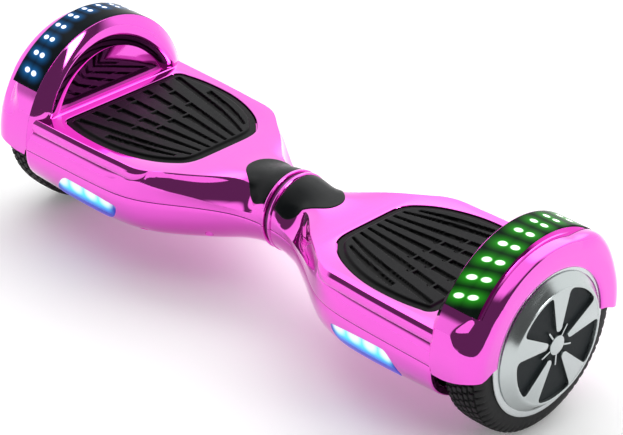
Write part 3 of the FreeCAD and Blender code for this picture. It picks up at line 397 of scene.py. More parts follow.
# radius of the scoop beside the strip
SCOOP = [(262.4, CROWN), (262.7, 93.4), (263.6, 91.8), (265.4, 90.3), (268.4, 89.3), (272.5, 88.6),
         (277.0, 88.1), (280.5, 87.5), (283.0, 86.6), (OUTER_FACE, 85.2)]
SCOOP_FULL_X = 272.8
CROWN_X = sorted([239.1, 239.3] + [239.4 + 0.95 * number for number in range(48) if number != 34]
                 + [260.775 + 0.95 * number for number in range(8)] + [271.58, 271.62, 271.9, 272.4])
OUTER_BAND = [(OUTER_FACE, 78.6), (OUTER_FACE, 74.5), (OUTER_FACE, 70), (284.45, 66), (284.2, 64.6),
              (283.7, 64.0), (282.9, 64.0), (282.6, 64.6)]
INNER_SKIN = [(282.6, 75), (282.6, 78), (280, 83.5), (270, 90.3), (256, 90.3), (243, 90.3), (241.1, 88.6),
              (240.9, 85), (240.9, 82), (239.4, 76), (238.1, 68.5), (238.1, 45), (238.1, 22)]


def about_axle(x, radius, angle):
    """Point at an angle that rises from the front of the board, over the top, to the back."""
    lean = math.radians(angle)
    return (x, -radius * math.cos(lean), AXLE_Z + radius * math.sin(lean))


def chain(pairs, at):
    """Value at one place of a broken line through the pairs."""
    return float(np.interp(at, [a for a, b in pairs], [b for a, b in pairs]))


def crown_radius(x, angle):
    """Radius of the arch's outside at one place: strip seat, scoop and rounded outer edge."""
    rounding = max(1 - smoothstep(28, 58, angle), smoothstep(122, 160, angle))
    round_x, end_radius = mix(277.0, 265.0, rounding), mix(86.4, 79.6, rounding)
    share = min(1.0, max(0.0, (x - round_x) / (OUTER_FACE - round_x)))
    edge = end_radius + (CROWN - end_radius) * math.sqrt(1 - share ** 2)
    if STRIP_FROM <= angle <= STRIP_TO and x < STRIP_X[1]:
        return edge - (SEAT_DEPTH if x > STRIP_X[0] - 0.05 else 0.0)
    fade = smoothstep(12.5, 24, angle) * (1 - smoothstep(104, 128, angle))
    scooped = fade * max(0.0, edge - chain(SCOOP, x))
    if angle < STRIP_FROM:
        start = mix(254, 264.5, smoothstep(19, STRIP_FROM, angle))
        full = max(0.0, edge - chain(SCOOP, max(x, SCOOP_FULL_X)))
        scooped = fade * smoothstep(start, SCOOP_FULL_X, x) * full
    return edge - scooped


def arch_profile(angle):
    """(x, radius) of the arch section at one angle, from the inner wall round to its inside."""
    climb = math.sin(math.radians(angle))
    spots = [(WALL_FOOT + WALL_LEAN * (AXLE_Z + radius * climb - DECK_Z), radius)
             for radius in (22, 40, 58)]
    top_x = WALL_FOOT + WALL_LEAN * max(0.0, AXLE_Z + WALL_RADIUS * climb - DECK_Z)
    spots += [(mix(top_x, CROWN_EDGE_X, share), radius) for radius, share in WALL_ROLL]
    spots += [(x, crown_radius(x, angle)) for x in CROWN_X]
    return spots + OUTER_BAND + INNER_SKIN


def arch_lift(x, radius):
    """Extra height of the arch's lower end: below the parting line, rising round the outer corner."""
    drop = -6.0 * smoothstep(240.2, 242.0, x)
    rise = 6.4 * smoothstep(250, 284, x)
    curl = 5.6 * smoothstep(84, 66, radius) * smoothstep(279, 283, x)
    return drop + rise + curl


ARCH_ANGLES = sorted([-2, 0, 2, 4, 6, 8, 10] + [12 + 0.45 * number for number in range(44)]
                     + [31.55, 31.65] + [33.0 + 1.65 * number for number in range(70)]
                     + [148.35, 148.45] + [150 + 2 * number for number in range(17)])


def build_arch(work):
    rows = []
    for angle in ARCH_ANGLES:
        row = []
        for x, radius in arch_profile(angle):
            low = PARTING_Z + HALF_GAP + arch_lift(x, radius)
            start = math.degrees(math.asin((low - AXLE_Z) / radius))
            if angle < 12:
                at = mix(start, 12, (angle + 2) / 14)
            elif angle > 168:
                at = mix(180 - start, 168, (182 - angle) / 14)
            else:
                at = angle
            row.append(about_axle(x, radius, at))
        rows.append(row)
    index = work.grid(rows, closed=True)
    work.cap([index[0]])
    work.cap([index[-1]])


NECK_LIP = [(2.3, 33.2), (2.3, 35.4), (2.6, 35.85), (3.1, 36.0), (4.3, 36.0), (4.9, 35.8), (5.3, 35.2),
            (5.5, 34.3), (5.6, 33.2)]


def build_neck_lip(work, up):
    """Half of the raised lip round the pivot end: up is 1 for the upper half, -1 for the lower."""
    start = math.degrees(math.asin((PARTING_Z + up * HALF_GAP - AXLE_Z) / 36))
    first, last = (start, 180 - start) if up > 0 else (180 - start, 360 + start)
    work.grid([[about_axle(x, radius, mix(first, last, number / 72)) for x, radius in NECK_LIP]
               for number in range(73)])


def build_upper_cover(side):
    work = Builder()
    build_upper_skin(work)
    build_bead(work)
    build_arch(work)
    build_neck_lip(work, 1)
    return work.finish(f"{side}_upper_cover_skin", side, sharp=36)


LOWER_END = 240.3
# the hub and its screws turn past the lower shell inside these radii, and it ends there at this x
HUB_SWEEP = (58.0, 61.0)
RELIEF_X = 236.4
POSTS = [(x, y * turn) for x, y in ((60, 42), (112, 70), (206, 66)) for turn in (-1, 1)]


def relieved(points):
    """Draws the shell's outboard end back where the hub and its screws turn past it."""
    made = []
    for x, y, z in points:
        share = 1 - smoothstep(*HUB_SWEEP, math.hypot(y, z - AXLE_Z))
        made.append((mix(x, min(x, RELIEF_X + 0.02 * (x - RELIEF_X)), share), y, z))
    return made


def build_lower_cover(side, openings=()):
    work = Builder()
    columns = [x for x in COLUMNS if x < LOWER_END - 1.6]
    rows = [work.add(relieved([(x, y, z) for y, z in lower_outline(x)])) for x in columns]
    end = lower_outline(LOWER_END)
    middle_z = 62.0

    def drawn_in(amount, x):
        return relieved([(x, y * (1 - amount / 92), middle_z + (z - middle_z) * (1 - amount / 30))
                         for y, z in end])

    for amount, back in ((0, 1.4), (0.25, 0.5), (0.9, 0.05), (1.6, 0), (7.5, 0), (8.2, 0.6), (8.6, 3.3),
                         (14.0, 4.4)):
        rows.append(work.add(drawn_in(amount, LOWER_END - back)))
    work.join(rows)
    work.cap([rows[-1]])
    build_neck_lip(work, -1)
    item = work.finish(f"{side}_lower_cover_skin", side, sharp=36)
    for x, y in POSTS:
        cut_round_hole(item, (x * SIDES[side], y, 36 if x > 100 else 42), 2, 3.8, -7)
    for x, z, radius in openings:
        cut_round_hole(item, (x, 90, z), 1, radius, 3)
    return item


def cut_round_hole(item, spot, along, radius, depth):
    """Cuts a round hole in a skin about an axis, with a wall of that depth behind it."""
    across = (0, 1) if along == 2 else (0, 2)
    centre = Vector(spot) * MM
    inward = Vector((0, 0, 0))
    inward[along] = -math.copysign(1, spot[along])
    work = bmesh.new()
    work.from_mesh(item.data)

    def away(face):
        middle = face.calc_center_median() - centre
        return math.hypot(middle[across[0]], middle[across[1]]) + (1 if abs(middle[along]) > 0.02 else 0)

    geometry = {face for face in work.faces if away(face) < (radius + 4.5) * MM}
    for face in list(geometry):
        geometry.update(face.edges)
        geometry.update(face.verts)
    geometry = list(geometry)
    for part in range(24):
        lean = 2 * math.pi * part / 24
        direction = Vector((0, 0, 0))
        direction[across[0]], direction[across[1]] = math.cos(lean), math.sin(lean)
        cut = bmesh.ops.bisect_plane(work, geom=geometry, dist=1e-7, plane_no=direction,
                                     plane_co=centre + direction * radius * MM)
        geometry = cut["geom"]
    faces = [face for face in geometry if isinstance(face, bmesh.types.BMFace)]
    gone = [face for face in faces if away(face) < radius * MM]
    rim = {edge for face in gone for edge in face.edges}
    bmesh.ops.delete(work, geom=gone, context="FACES")
    rim = [edge for edge in rim if edge.is_valid and edge.is_boundary]
    made = bmesh.ops.extrude_edge_only(work, edges=rim)
    moved = [v for v in made["geom"] if isinstance(v, bmesh.types.BMVert)]
    bmesh.ops.translate(work, verts=moved, vec=inward * depth * MM)
    for edge in rim:
        edge.smooth = False
    work.to_mesh(item.data)
    work.free()


def revolve(work, profile, count):
    """Turned skin about the axle from (x, radius) points."""
    rows = [[about_axle(x, radius, 360 * number / count) for number in range(count)]
            for x, radius in profile]
    return work.grid(rows, closed=True)


def top_height(x, y):
    """Height of the upper skin over a plan position near the neck."""
    reach = station(x).edge_y - EDGE_INSET
    crown = crown_curve(x)
    spots = [(reach * part / 8, crown(reach * part / 8)) for part in range(8)]
    spots += upper_half_outline(x)[:18]
    ys = [p[0] for p in spots]
    zs = [p[1] for p in spots]
    keep = [0]
    for number in range(1, len(ys)):
        if ys[number] > ys[keep[-1]] + 0.05:
            keep.append(number)
    return float(np.interp(abs(y), [ys[k] for k in keep], [zs[k] for k in keep]))


def lifted(x, y, amount):
    """Point above the upper skin along its normal."""
    step = 0.6
    near = min(max(x, 5.2), 60)
    slope_x = (top_height(near + step, y) - top_height(near - step, y)) / (2 * step)
    slope_y = (top_height(near, y + step) - top_height(near, y - step)) / (2 * step)
    normal = Vector((-slope_x, -slope_y, 1)).normalized()
    spot = Vector((x, y, top_height(near, y))) + normal * amount
    return tuple(spot)


def drawn(centre, spot, amount):
    """The spot, moved by that amount towards the centre."""
    away = math.hypot(spot[0] - centre[0], spot[1] - centre[1])
    share = 1 - amount / away
    return mix(centre[0], spot[0], share), mix(centre[1], spot[1], share)


def lay_cap(work, place, ring, centre, edge, parts):
    """A low cap laid on a surface: up its rounded edge, then in to the centre."""
    rows = [[place(*drawn(centre, spot, draw), rise) for spot in ring] for draw, rise in edge]
    draw, rise = edge[-1]
    rim = [drawn(centre, spot, draw) for spot in ring]
    for part in range(1, parts):
        share = 1 - part / parts
        rows.append([place(mix(centre[0], a, share), mix(centre[1], b, share), rise) for a, b in rim])
    index = work.grid(rows, closed=True)
    work.fan(index[-1], place(*centre, rise))


TRIM_EDGE = [(5.9, -31.0), (12, -31.6), (17.5, -31.2), (24, -28.6), (31, -24.2), (38, -19.6),
             (45, -14.2), (49.6, -7.6), (50.9, 0), (49.6, 7.6), (45, 14.2), (38, 19.6), (31, 24.2),
             (24, 28.6), (17.5, 31.2), (12, 31.6), (5.9, 31.0)]


def build_trim(side):
    """Saddle trim: follows the neck's top, with a small rounded edge."""
    work = Builder()
    lengths = run_lengths(TRIM_EDGE)
    run_x = spline(lengths, [x for x, y in TRIM_EDGE])
    run_y = spline(lengths, [y for x, y in TRIM_EDGE])
    ring = [(run_x(t), run_y(t)) for t in np.linspace(0, lengths[-1], 97)]
    ring += [(5.9, 31.0 - 62.0 * number / 32) for number in range(1, 32)]
    centre = (26.0, 0.0)
    edge = ((0.0, -1.2), (0.0, 0.1), (0.15, 0.42), (0.5, 0.62), (1.1, 0.68))
    lay_cap(work, lifted, ring, centre, edge, 16)
    return work.finish(f"{side}_center_trim_piece", side, sharp=50)


# ---------------------------------------------------------------- pads

GROOVE_LINES = {
    0: [(95, 0), (154, 0), (209.4, 0)],
    1: [(94.5, 10.0), (125, 13.2), (165, 17.4), (209.4, 20.6)],
    2: [(95, 20.2), (123, 25.2), (152, 30.4), (185, 36.6), (209.4, 40.9)],
    3: [(96, 30.6), (116, 38.0), (141, 45.2), (190, 56.0), (208.6, 60.2)],
    4: [(104, 42.0), (120, 48.6), (136, 53.6), (169, 61.8)],
}
RIB_ARCS = [(201.0, 15.0, 50.0), (175.0, 11.0, 37.0), (154.0, 6.0, 26.0)]
PAD_TOP = 111.2
GROOVE_FLOOR = 108.9


def rib_x(arc, y):
    return arc[0] - arc[1] * (y / arc[2]) ** 2


def groove_lines():
    """Every groove piece between the ribs.

    Each is (curve in x, side, first x, last x, start x, whole length, hooked).
    """
    pieces = []
    for number, nodes in GROOVE_LINES.items():
        curve_y = spline([p[0] for p in nodes], [p[1] for p in nodes])
        for side in (1, -1) if number else (1,):
            start, end = nodes[0][0], nodes[-1][0]
            cuts = [start]
            for arc in reversed(RIB_ARCS):
                y = curve_y(arc[0] - arc[1] * 0.3) * side
                if abs(y) <= arc[2] + 0.5 and start < rib_x(arc, y) < end:
                    cuts.append(rib_x(arc, y))
            cuts.append(end)
            for low, high in zip(cuts, cuts[1:]):
                first = low + (1.3 if low != start else 0)
                last = high - (1.3 if high != end else 0)
                pieces.append((curve_y, side, first, last, start, end - start, high != end))
    return pieces


GROOVES = groove_lines()


def groove_depth(x, y):
    """0 on the slats, 1 at the bottom of a groove, for arrays of places."""
    depth = np.zeros_like(x)
    for curve_y, side, first, last, start, length, hooked in GROOVES:
        half = 1.35 + 1.6 * np.clip((x - start) / length * 2.6, 0.0, 1.0)
        off = np.abs(y - curve_y(np.clip(x, first, last)) * side) - half
        ends = np.maximum(first - x, x - last)
        depth = np.maximum(depth, 1 - smoothstep(-0.3, 0.3, np.maximum(off, ends)))
        if hooked:
            centre = curve_y(last - 1.5) * side
            off = np.maximum(np.abs(x - last + 1.5) - 1.5, np.abs(y - centre + 2.4) - 2.4)
            depth = np.maximum(depth, 1 - smoothstep(-0.3, 0.3, off))
    return depth


def resampled(ring, count):
    """The same closed ring with evenly spaced points."""
    spots = np.array(ring + [ring[0]], float)
    lengths = run_lengths(spots)
    even = np.linspace(0, lengths[-1], count, endpoint=False)
    return [tuple(float(np.interp(t, lengths, spots[:, axis])) for axis in range(3)) for t in even]


PAD_COUNT, PAD_RINGS = 560, 84
PAD_EDGE = [(0.5, 107.2), (0.5, 108.3), (0.62, 108.7), (0.95, 108.95), (1.5, 109.0), (4.6, 109.0),
            (5.3, 109.05), (5.8, 109.3), (6.5, 110.2), (6.9, 110.75), (7.4, 111.08), (8.0, PAD_TOP)]


def build_pad(side):
    """Foot pad: low outer band, raised plateau with a soft edge, and the groove pattern."""
    work = Builder()
    rings = [resampled(pad_outline(inset, z), PAD_COUNT) for inset, z in PAD_EDGE]
    centre = (152.0, 0.0)
    rim = np.array(rings[-1])
    for number in range(1, PAD_RINGS):
        share = 1 - number / PAD_RINGS
        at_x, at_y = mix(centre[0], rim[:, 0], share), mix(centre[1], rim[:, 1], share)
        at_z = PAD_TOP - (PAD_TOP - GROOVE_FLOOR) * groove_depth(at_x, at_y)
        rings.append(np.stack([at_x, at_y, at_z], axis=1).tolist())
    index = work.grid(rings, closed=True)
    work.fan(index[-1], (*centre, GROOVE_FLOOR))
    work.faces.append(list(reversed(index[0])))
    return work.finish(f"{side}_foot_pad_piece", side, sharp=50)


# ---------------------------------------------------------------- lights

LENS_RADIUS = 94.48
# angle of each pair of lights, where its two lights stand across the strip, and how far the outer one
# of the pair is turned against the inner one
LED_PAIRS = {
    "right": [(38.1, 247.9, 260.1, 2.1), (48.6, 250.0, 262.6, 2.0), (59.7, 251.7, 263.2, 1.5),
              (71.1, 252.7, 264.1, 1.0), (83.0, 252.2, 263.1, 0.7), (94.8, 251.5, 261.8, 0.2),
              (105.6, 250.0, 259.8, 0.0), (116.6, 250.0, 260.0, 0.0), (127.6, 250.0, 260.0, 0.0),
              (138.6, 250.0, 260.0, 0.0)],
    "left": [(39.8, 252.1, 260.8, 0.4), (50.6, 255.0, 262.8, 0.0), (61.2, 257.8, 265.2, -0.2),
             (71.2, 259.5, 266.4, -0.3), (81.4, 260.8, 267.4, -0.6), (91.4, 260.8, 267.0, -0.8),
             (101.4, 260.0, 266.2, -1.0), (111.4, 260.0, 266.2, -1.0), (121.4, 260.0, 266.2, -1.0),
             (131.4, 260.0, 266.2, -1.0)],
}


def store_places(item, along, across):
    """Stores two measures of each point, which the light pattern reads."""
    layer = item.data.uv_layers.new(name="strip")
    for loop in item.data.loops:
        layer.data[loop.index].uv = (along[loop.vertex_index], across[loop.vertex_index])


def piece_points(item):
    return np.array([vertex.co for vertex in item.data.vertices]) / MM


def strip_uv(item, side):
    """Stores the place along the strip, counted in pairs, and across it."""
    angles, inner, outer, turn = (np.array(column) for column in zip(*LED_PAIRS[side]))
    points = piece_points(item)
    angle = np.degrees(np.arctan2(points[:, 2] - AXLE_Z, -points[:, 1]))
    middle, apart = (inner + outer) / 2, outer - inner
    row = (np.abs(points[:, 0]) - np.interp(angle, angles, middle)) / np.interp(angle, angles, apart)
    straight = angle - np.interp(angle, angles, turn) * (np.clip(row, -1.2, 1.2) + 0.5)
    first, last = angles[1] - angles[0], angles[-1] - angles[-2]
    pair = np.interp(straight, angles, np.arange(len(angles)))
    pair += np.minimum(0.0, (straight - angles[0]) / first)
    pair += np.maximum(0.0, (straight - angles[-1]) / last)
    store_places(item, pair, row)


def build_led_lens(side):
    """Curved lens in its seat on the arch, with soft edges."""
    work = Builder()
    low_x, high_x = STRIP_X[0] + 0.15, STRIP_X[1] - 0.15
    edge = [(0.0, 93.4), (0.0, 94.1), (0.2, 94.38), (0.7, LENS_RADIUS)]
    profile = [(low_x + inset, radius) for inset, radius in edge]
    profile += [(mix(low_x + 0.7, high_x - 0.7, part / 10), LENS_RADIUS) for part in range(1, 10)]
    profile += [(high_x - inset, radius) for inset, radius in reversed(edge)]
    first, last = STRIP_FROM + 0.12, STRIP_TO - 0.12
    angles = [first, first, first + 0.15, first + 0.5]
    angles += [first + 0.5 + (last - first - 1.0) * part / 110 for part in range(1, 110)]
    angles += [last - 0.5, last - 0.15, last, last]
    drops = [1.1, 0.4, 0.1] + [0.0] * (len(angles) - 6) + [0.1, 0.4, 1.1]
    rows = [[about_axle(x, radius - drop, angle) for x, radius in profile]
            for angle, drop in zip(angles, drops)]
    work.grid(rows)
    item = work.finish(f"{side}_led_lens_piece", side, sharp=50)
    strip_uv(item, side)
    return item


HEADLIGHT_START, HEADLIGHT_LENGTH = 130, 72
# (x, z) round the headlight
HEADLIGHT = [(128.6, 66.4), (129.6, 68.0), (132.6, 68.9), (150, 71.0), (172, 72.4), (186, 72.8),
             (190, 72.3), (194.6, 69.0), (199.0, 63.4), (202.6, 57.0), (203.2, 51.6), (199.0, 47.4),
             (188, 46.0), (168, 45.2), (154, 45.8), (143.0, 48.6), (135.0, 54.0), (130.2, 60.6)]


def flank_y(x, z):
    """Half width of the lower shell at one height."""
    here = station(x)
    share = min(1.0, max(0.0, (LOWER_TOP - z) / (LOWER_TOP - here.floor_z)))
    return here.waist_y * (1 - share ** here.roundness) ** (1 / here.roundness)


def build_headlight(side):
    """Clear lens set in the front flank, standing a little proud with a soft edge."""
    work = Builder()
    ring = smooth_ring(HEADLIGHT, 6)
    centre = tuple(np.mean(ring, axis=0))
    edge = ((-0.1, -0.9), (-0.1, 0.02), (0.1, 0.22), (0.5, 0.34), (1.2, 0.38))
    lay_cap(work, flank_spot, ring, centre, edge, 10)
    item = work.finish(f"{side}_headlight_lens_piece", side, sharp=60)
    low, high = min(z for x, z in HEADLIGHT), max(z for x, z in HEADLIGHT)
    points = piece_points(item)
    store_places(item, (np.abs(points[:, 0]) - HEADLIGHT_START) / HEADLIGHT_LENGTH,
                 (points[:, 2] - low) / (high - low))
    return item


def flank_spot(x, z, rise):
    """Point above the front flank of the lower shell along its normal."""
    y = flank_y(x, z)
    slope_z = flank_y(x, z + 0.5) - flank_y(x, z - 0.5)
    slope_x = flank_y(x + 0.5, z) - flank_y(x - 0.5, z)
    normal = Vector((-slope_x, 1, -slope_z)).normalized()
    spot = Vector((x, y, z)) + normal * rise
    return (spot.x, -spot.y, spot.z)


def smooth_ring(spots, parts):
    """Closed Catmull-Rom ring through the spots."""
    ring = []
    count = len(spots)
    for number in range(count):
        p0, p1, p2, p3 = (np.array(spots[(number + k) % count], float) for k in (-1, 0, 1, 2))
        for part in range(parts):
            t = part / parts
            ring.append(tuple(0.5 * (2 * p1 + (p2 - p0) * t + (2 * p0 - 5 * p1 + 4 * p2 - p3) * t * t
                                     + (3 * p1 - p0 - 3 * p2 + p3) * t ** 3)))
    return ring


# ---------------------------------------------------------------- wheels

TREAD_BLOCKS = 66
TREAD_START, TREAD_WIDTH = 246.75, 28.0
TREAD_ROW, TREAD_DEPTH = 5.6, 1.9
TYRE_RADIUS = 84.0


def tread_depth(x, angle):
    """How far the tread sits below the tyre's crown at one place."""
    across = 2 * (x - TREAD_START) / TREAD_WIDTH - 1
    pitch = 360 / TREAD_BLOCKS
    row = int(math.floor((x - TREAD_START) / TREAD_ROW))
    shift = 0.5 * pitch if row % 2 else 0.0
    place = ((angle + shift + 1.6 * across) % pitch) / pitch
    lateral = 1.0 - smoothstep(0.09, 0.15, np.minimum(place, 1 - place))
    rib = (x - TREAD_START) % TREAD_ROW
    channel = 0.0
    if -0.75 < x - TREAD_START < TREAD_WIDTH + 0.75:
        channel = 1.0 - smoothstep(0.5, 0.85, min(rib, TREAD_ROW - rib))
    return TREAD_DEPTH * np.maximum(lateral, channel)


TYRE_SIDE = [(241.5, 63.0), (241.3, 66.0), (241.15, 70.0), (241.3, 74.0), (241.9, 77.4), (242.9, 79.6),
             (244.2, 81.4), (245.6, 82.8)]


def build_tyre(side):
    work = Builder()
    far_side = 2 * TREAD_START + TREAD_WIDTH
    crown = [(TREAD_START + TREAD_WIDTH * part / 56, TYRE_RADIUS - 0.9 * abs(2 * part / 56 - 1) ** 3)
             for part in range(57)]
    profile = TYRE_SIDE + crown + [(far_side - x, radius) for x, radius in reversed(TYRE_SIDE)]
    angles = np.arange(TREAD_BLOCKS * 9) * 360 / (TREAD_BLOCKS * 9)
    lean = np.radians(angles)
    rows = []
    for x, radius in profile:
        reach = radius - tread_depth(x, angles) * smoothstep(75.5, 80.0, radius)
        spots = [np.full_like(angles, x), -reach * np.cos(lean), AXLE_Z + reach * np.sin(lean)]
        rows.append(np.stack(spots, axis=1).tolist())
    work.grid(rows, closed=True)
    return work.finish(f"{side}_tyre_piece", side, sharp=40)


RIM = [(279.6, 62.3), (280.2, 62.6), (280.3, 65.6), (280.6, 66.2), (281.3, 66.5), (282.0, 66.3),
       (282.4, 65.7), (282.5, 64.6), (282.5, 60.6), (282.2, 60.2), (282.2, 57)]
INNER_RIM = [(282.2, 57), (239, 57), (238.6, 57.4), (238.6, 65.4), (238.9, 66.0), (240.9, 66.2),
             (241.3, 65.6), (241.35, 62.4)]
HUB = [(282.4, 57.0), (282.5, 60.3), (282.9, 60.75), (283.7, 60.7), (284.4, 60.0), (285.4, 58.9),
       (286.8, 57.3), (288.4, 55.6), (289.8, 54.2), (290.9, 53.1), (291.6, 52.3), (291.95, 51.4),
       (292.0, 50.6), (291.8, 50.05), (291.2, 49.8), (287.7, 49.7)]
WINDOW_FLOOR = 288.6


def build_rim(side):
    work = Builder()
    revolve(work, INNER_RIM + RIM, 180)
    return work.finish(f"{side}_rim_piece", side, sharp=35)


def spoke_outline():
    """Outline in the hub's plane of one spoke standing straight up: (across, up)."""
    tip_height, tip_radius, rim_radius = 16.5, 3.5, 50.3
    corner = [(46.2, 12.4), (48.0, 12.9), (49.2, 13.9), (50.0, 15.4), (rim_radius, 17.2)]
    right = [polar(radius, 90 - turn) for radius, turn in corner]
    tip = [polar(tip_radius, 180 + 22.5 * part) for part in range(9)]
    spots = [(across, tip_height + up) for across, up in tip] + right
    spots += [polar(rim_radius, 90 - turn) for turn in range(14, -15, -4)]
    return spots + [(-across, up) for across, up in reversed(right)]


def ray_outline():
    """Outline of one thin ray with a round outer end."""
    half, low, high = 0.75, 4.0, 18.25
    tip = [polar(half, 30 * part) for part in range(1, 6)]
    return [(-half, low), (half, low), (half, high)] + [(a, high + b) for a, b in tip] + [(-half, high)]


def stand(work, outline, angle, top, edge):
    """A block with a soft edge on the window floor: its outline is turned by the angle."""
    lean = math.radians(angle)
    centre = tuple(np.mean(outline, axis=0))
    rings = []
    for draw, x in ((0, WINDOW_FLOOR - 1), (0, top - edge), (edge * 0.3, top - edge * 0.3), (edge, top)):
        spots = [drawn(centre, spot, draw) for spot in outline]
        rings.append([(x, a * math.cos(lean) - b * math.sin(lean),
                       AXLE_Z + a * math.sin(lean) + b * math.cos(lean)) for a, b in spots])
    index = work.grid(rings, closed=True)
    work.cap([index[-1]])


def build_hub(side):
    """Hub cover: turned cone, five spokes, centre disc and five thin rays."""
    work = Builder()
    revolve(work, HUB, 180)
    for number in range(5):
        stand(work, spoke_outline(), 72 * number, 291.85, 0.45)
        stand(work, ray_outline(), 72 * number + 36, 290.9, 0.25)
    stand(work, [polar(8.6, 7.5 * part) for part in range(48)], 0, 291.3, 0.4)
    return work.finish(f"{side}_hub_cover_piece", side, sharp=30)


def build_hub_insert(side):
    work = Builder()
    index = revolve(work, [(WINDOW_FLOOR - 0.6, 49.7), (WINDOW_FLOOR, 49.6), (WINDOW_FLOOR, 25.0)], 120)
    work.cap([index[-1]])
    return work.finish(f"{side}_hub_insert_piece", side, sharp=30)


# ---------------------------------------------------------------- pivot ring

def build_ring():
    work = Builder()
    profile = [(-2.0, 22.0), (-2.0, 33.3), (-1.7, 33.6), (1.7, 33.6), (2.0, 33.3), (2.0, 22.0)]
    revolve(work, profile, 144)
    return work.finish("pivot_ring_piece", "right", sharp=40)


def build_bezel(work, x, z, inner, outer):
    """Round bezel on the rear flank."""
    profile = [(inner, 84.0), (inner, 91.6), (inner + 0.3, 91.95), (outer - 0.7, 92.0),
               (outer - 0.2, 91.8), (outer, 91.3), (outer, 82.0)]
    circle = [polar(1, 5 * part) for part in range(72)]
    rows = [[(x + radius * a, y, z + radius * b) for a, b in circle] for radius, y in profile]
    work.grid(rows, closed=True)


def build_bezels():
    work = Builder()
    build_bezel(work, 140, 67, 8.1, 11.5)
    build_bezel(work, 180, 67, 6.3, 9.0)
    for x in (134.25, 145.75):
        rows = [[(x + dx, y, z) for dx, z in ((-1.45, 76.6), (1.45, 76.6), (1.45, 79.6), (-1.45, 79.6))]
                for y in (86, 94.0)]
        index = work.grid(rows, closed=True)
        work.cap([index[-1]])
    return work.finish("right_rear_bezels", "right", sharp=35)


# ---------------------------------------------------------------- materials

COAT_ROUGHNESS = 0.03


class Signal:
    """An output of a node tree; +, - and * on it add maths nodes."""

    def __init__(self, tree, socket):
        self.tree = tree
        self.socket = socket

    def maths(self, operation, *others):
        node = self.tree.nodes.new("ShaderNodeMath")
        node.operation = operation
        for socket, value in zip(node.inputs, (self, *others)):
            feed(socket, value)
        return Signal(self.tree, node.outputs[0])

    def __add__(self, other):
        return self.maths("ADD", other)

    def __sub__(self, other):
        return self.maths("SUBTRACT", other)

    def __mul__(self, other):
        return self.maths("MULTIPLY", other)

    def ranged(self, low, high, to_low=0.0, to_high=1.0, smooth=False):
        """The share of the way from low to high, as a value from to_low to to_high."""
        node = self.tree.nodes.new("ShaderNodeMapRange")
        if smooth:
            node.interpolation_type = "SMOOTHSTEP"
        for name, value in zip(("Value", "From Min", "From Max", "To Min", "To Max"),
                               (self, low, high, to_low, to_high)):
            feed(node.inputs[name], value)
        return Signal(self.tree, node.outputs["Result"])

    def axes(self):
        node = self.tree.nodes.new("ShaderNodeSeparateXYZ")
        feed(node.inputs[0], self)
        return [Signal(self.tree, output) for output in node.outputs]

    def noise(self, scale, detail=3.0):
        """Noise at the place this output stands for."""
        node = self.tree.nodes.new("ShaderNodeTexNoise")
        feed(node.inputs["Vector"], self)
        feed(node.inputs["Scale"], scale)
        feed(node.inputs["Detail"], detail)
        return Signal(self.tree, node.outputs["Fac"])

    def blended(self, first, second):
        """From the first to the second, by this share; both are colours, or both are numbers."""
        node = self.tree.nodes.new("ShaderNodeMix")
        low, high, result = 2, 3, 0
        if isinstance(second, tuple) or isinstance(second, Signal):
            node.data_type = "RGBA"
            low, high, result = 6, 7, 2
        feed(node.inputs["Factor"], self)
        feed(node.inputs[low], first)
        feed(node.inputs[high], second)
        return Signal(self.tree, node.outputs[result])


def feed(socket, value):
    """Gives a socket its value: a number, a colour or another output."""
    if isinstance(value, Signal):
        value.tree.links.new(value.socket, socket)
    elif isinstance(value, tuple):
        socket.default_value = (*value, 1)
    else:
        socket.default_value = value


def root_of_squares(first, second):
    return (first * first + second * second).maths("SQRT")


def object_place(tree):
    return Signal(tree, tree.nodes.new("ShaderNodeTexCoord").outputs["Object"])


def light_place(tree):
    """Place along and across a lens with lights, from its own coordinates."""
    node = tree.nodes.new("ShaderNodeUVMap")
    node.uv_map = "strip"
    return Signal(tree, node.outputs[0]).axes()[:2]


def paint(sockets, noise, tint, shade, roughness, spread):
    """Lets a noise move the tint and the roughness."""
    low = tuple(channel * (1 - shade) for channel in tint)
    high = tuple(min(1.0, channel * (1 + shade)) for channel in tint)
    feed(sockets["Base Color"], noise.blended(low, high))
    feed(sockets["Roughness"], noise.ranged(0.3, 0.7, max(0.0, roughness - spread), roughness + spread))


def surface(name, tint, roughness, metal=0.0, coat=0.0, shade=0.1, grain=300.0, bump=0.0,
            bump_scale=2500.0, spread=0.05, specular=0.5):
    """Procedural finish: fine noise moves the tint, the roughness and, a little, the surface."""
    material = bpy.data.materials.new(name)
    material.use_nodes = True
    tree, sockets = tree_of(material)
    feed(sockets["Metallic"], metal)
    feed(sockets["Coat Weight"], coat)
    feed(sockets["Coat Roughness"], COAT_ROUGHNESS)
    feed(sockets["Specular IOR Level"], specular)
    place = object_place(tree)
    paint(sockets, place.noise(grain), tint, shade, roughness, spread)
    if bump:
        node = tree.nodes.new("ShaderNodeBump")
        feed(node.inputs["Strength"], 1.0)
        feed(node.inputs["Distance"], bump * MM)
        feed(node.inputs["Height"], place.noise(bump_scale, 2.0))
        tree.links.new(node.outputs["Normal"], sockets["Normal"])
    return material


def tree_of(material):
    """The node tree of a material and the inputs of its shader."""
    tree = material.node_tree
    return tree, tree.nodes["Principled BSDF"].inputs


def turned_metal(name, tint, roughness):
    """Metal with fine rings about the axle, as turning leaves them."""
    material = surface(name, tint, roughness, metal=1.0, shade=0.03)
    tree, sockets = tree_of(material)
    feed(sockets["Anisotropic"], 0.35)
    aside, ahead, up = object_place(tree).axes()
    spot = tree.nodes.new("ShaderNodeCombineXYZ")
    feed(spot.inputs[0], root_of_squares(up - AXLE_Z * MM, ahead))
    feed(spot.inputs[1], aside)
    paint(sockets, Signal(tree, spot.outputs[0]).noise(1500.0), tint, 0.015, roughness, 0.012)
    return material


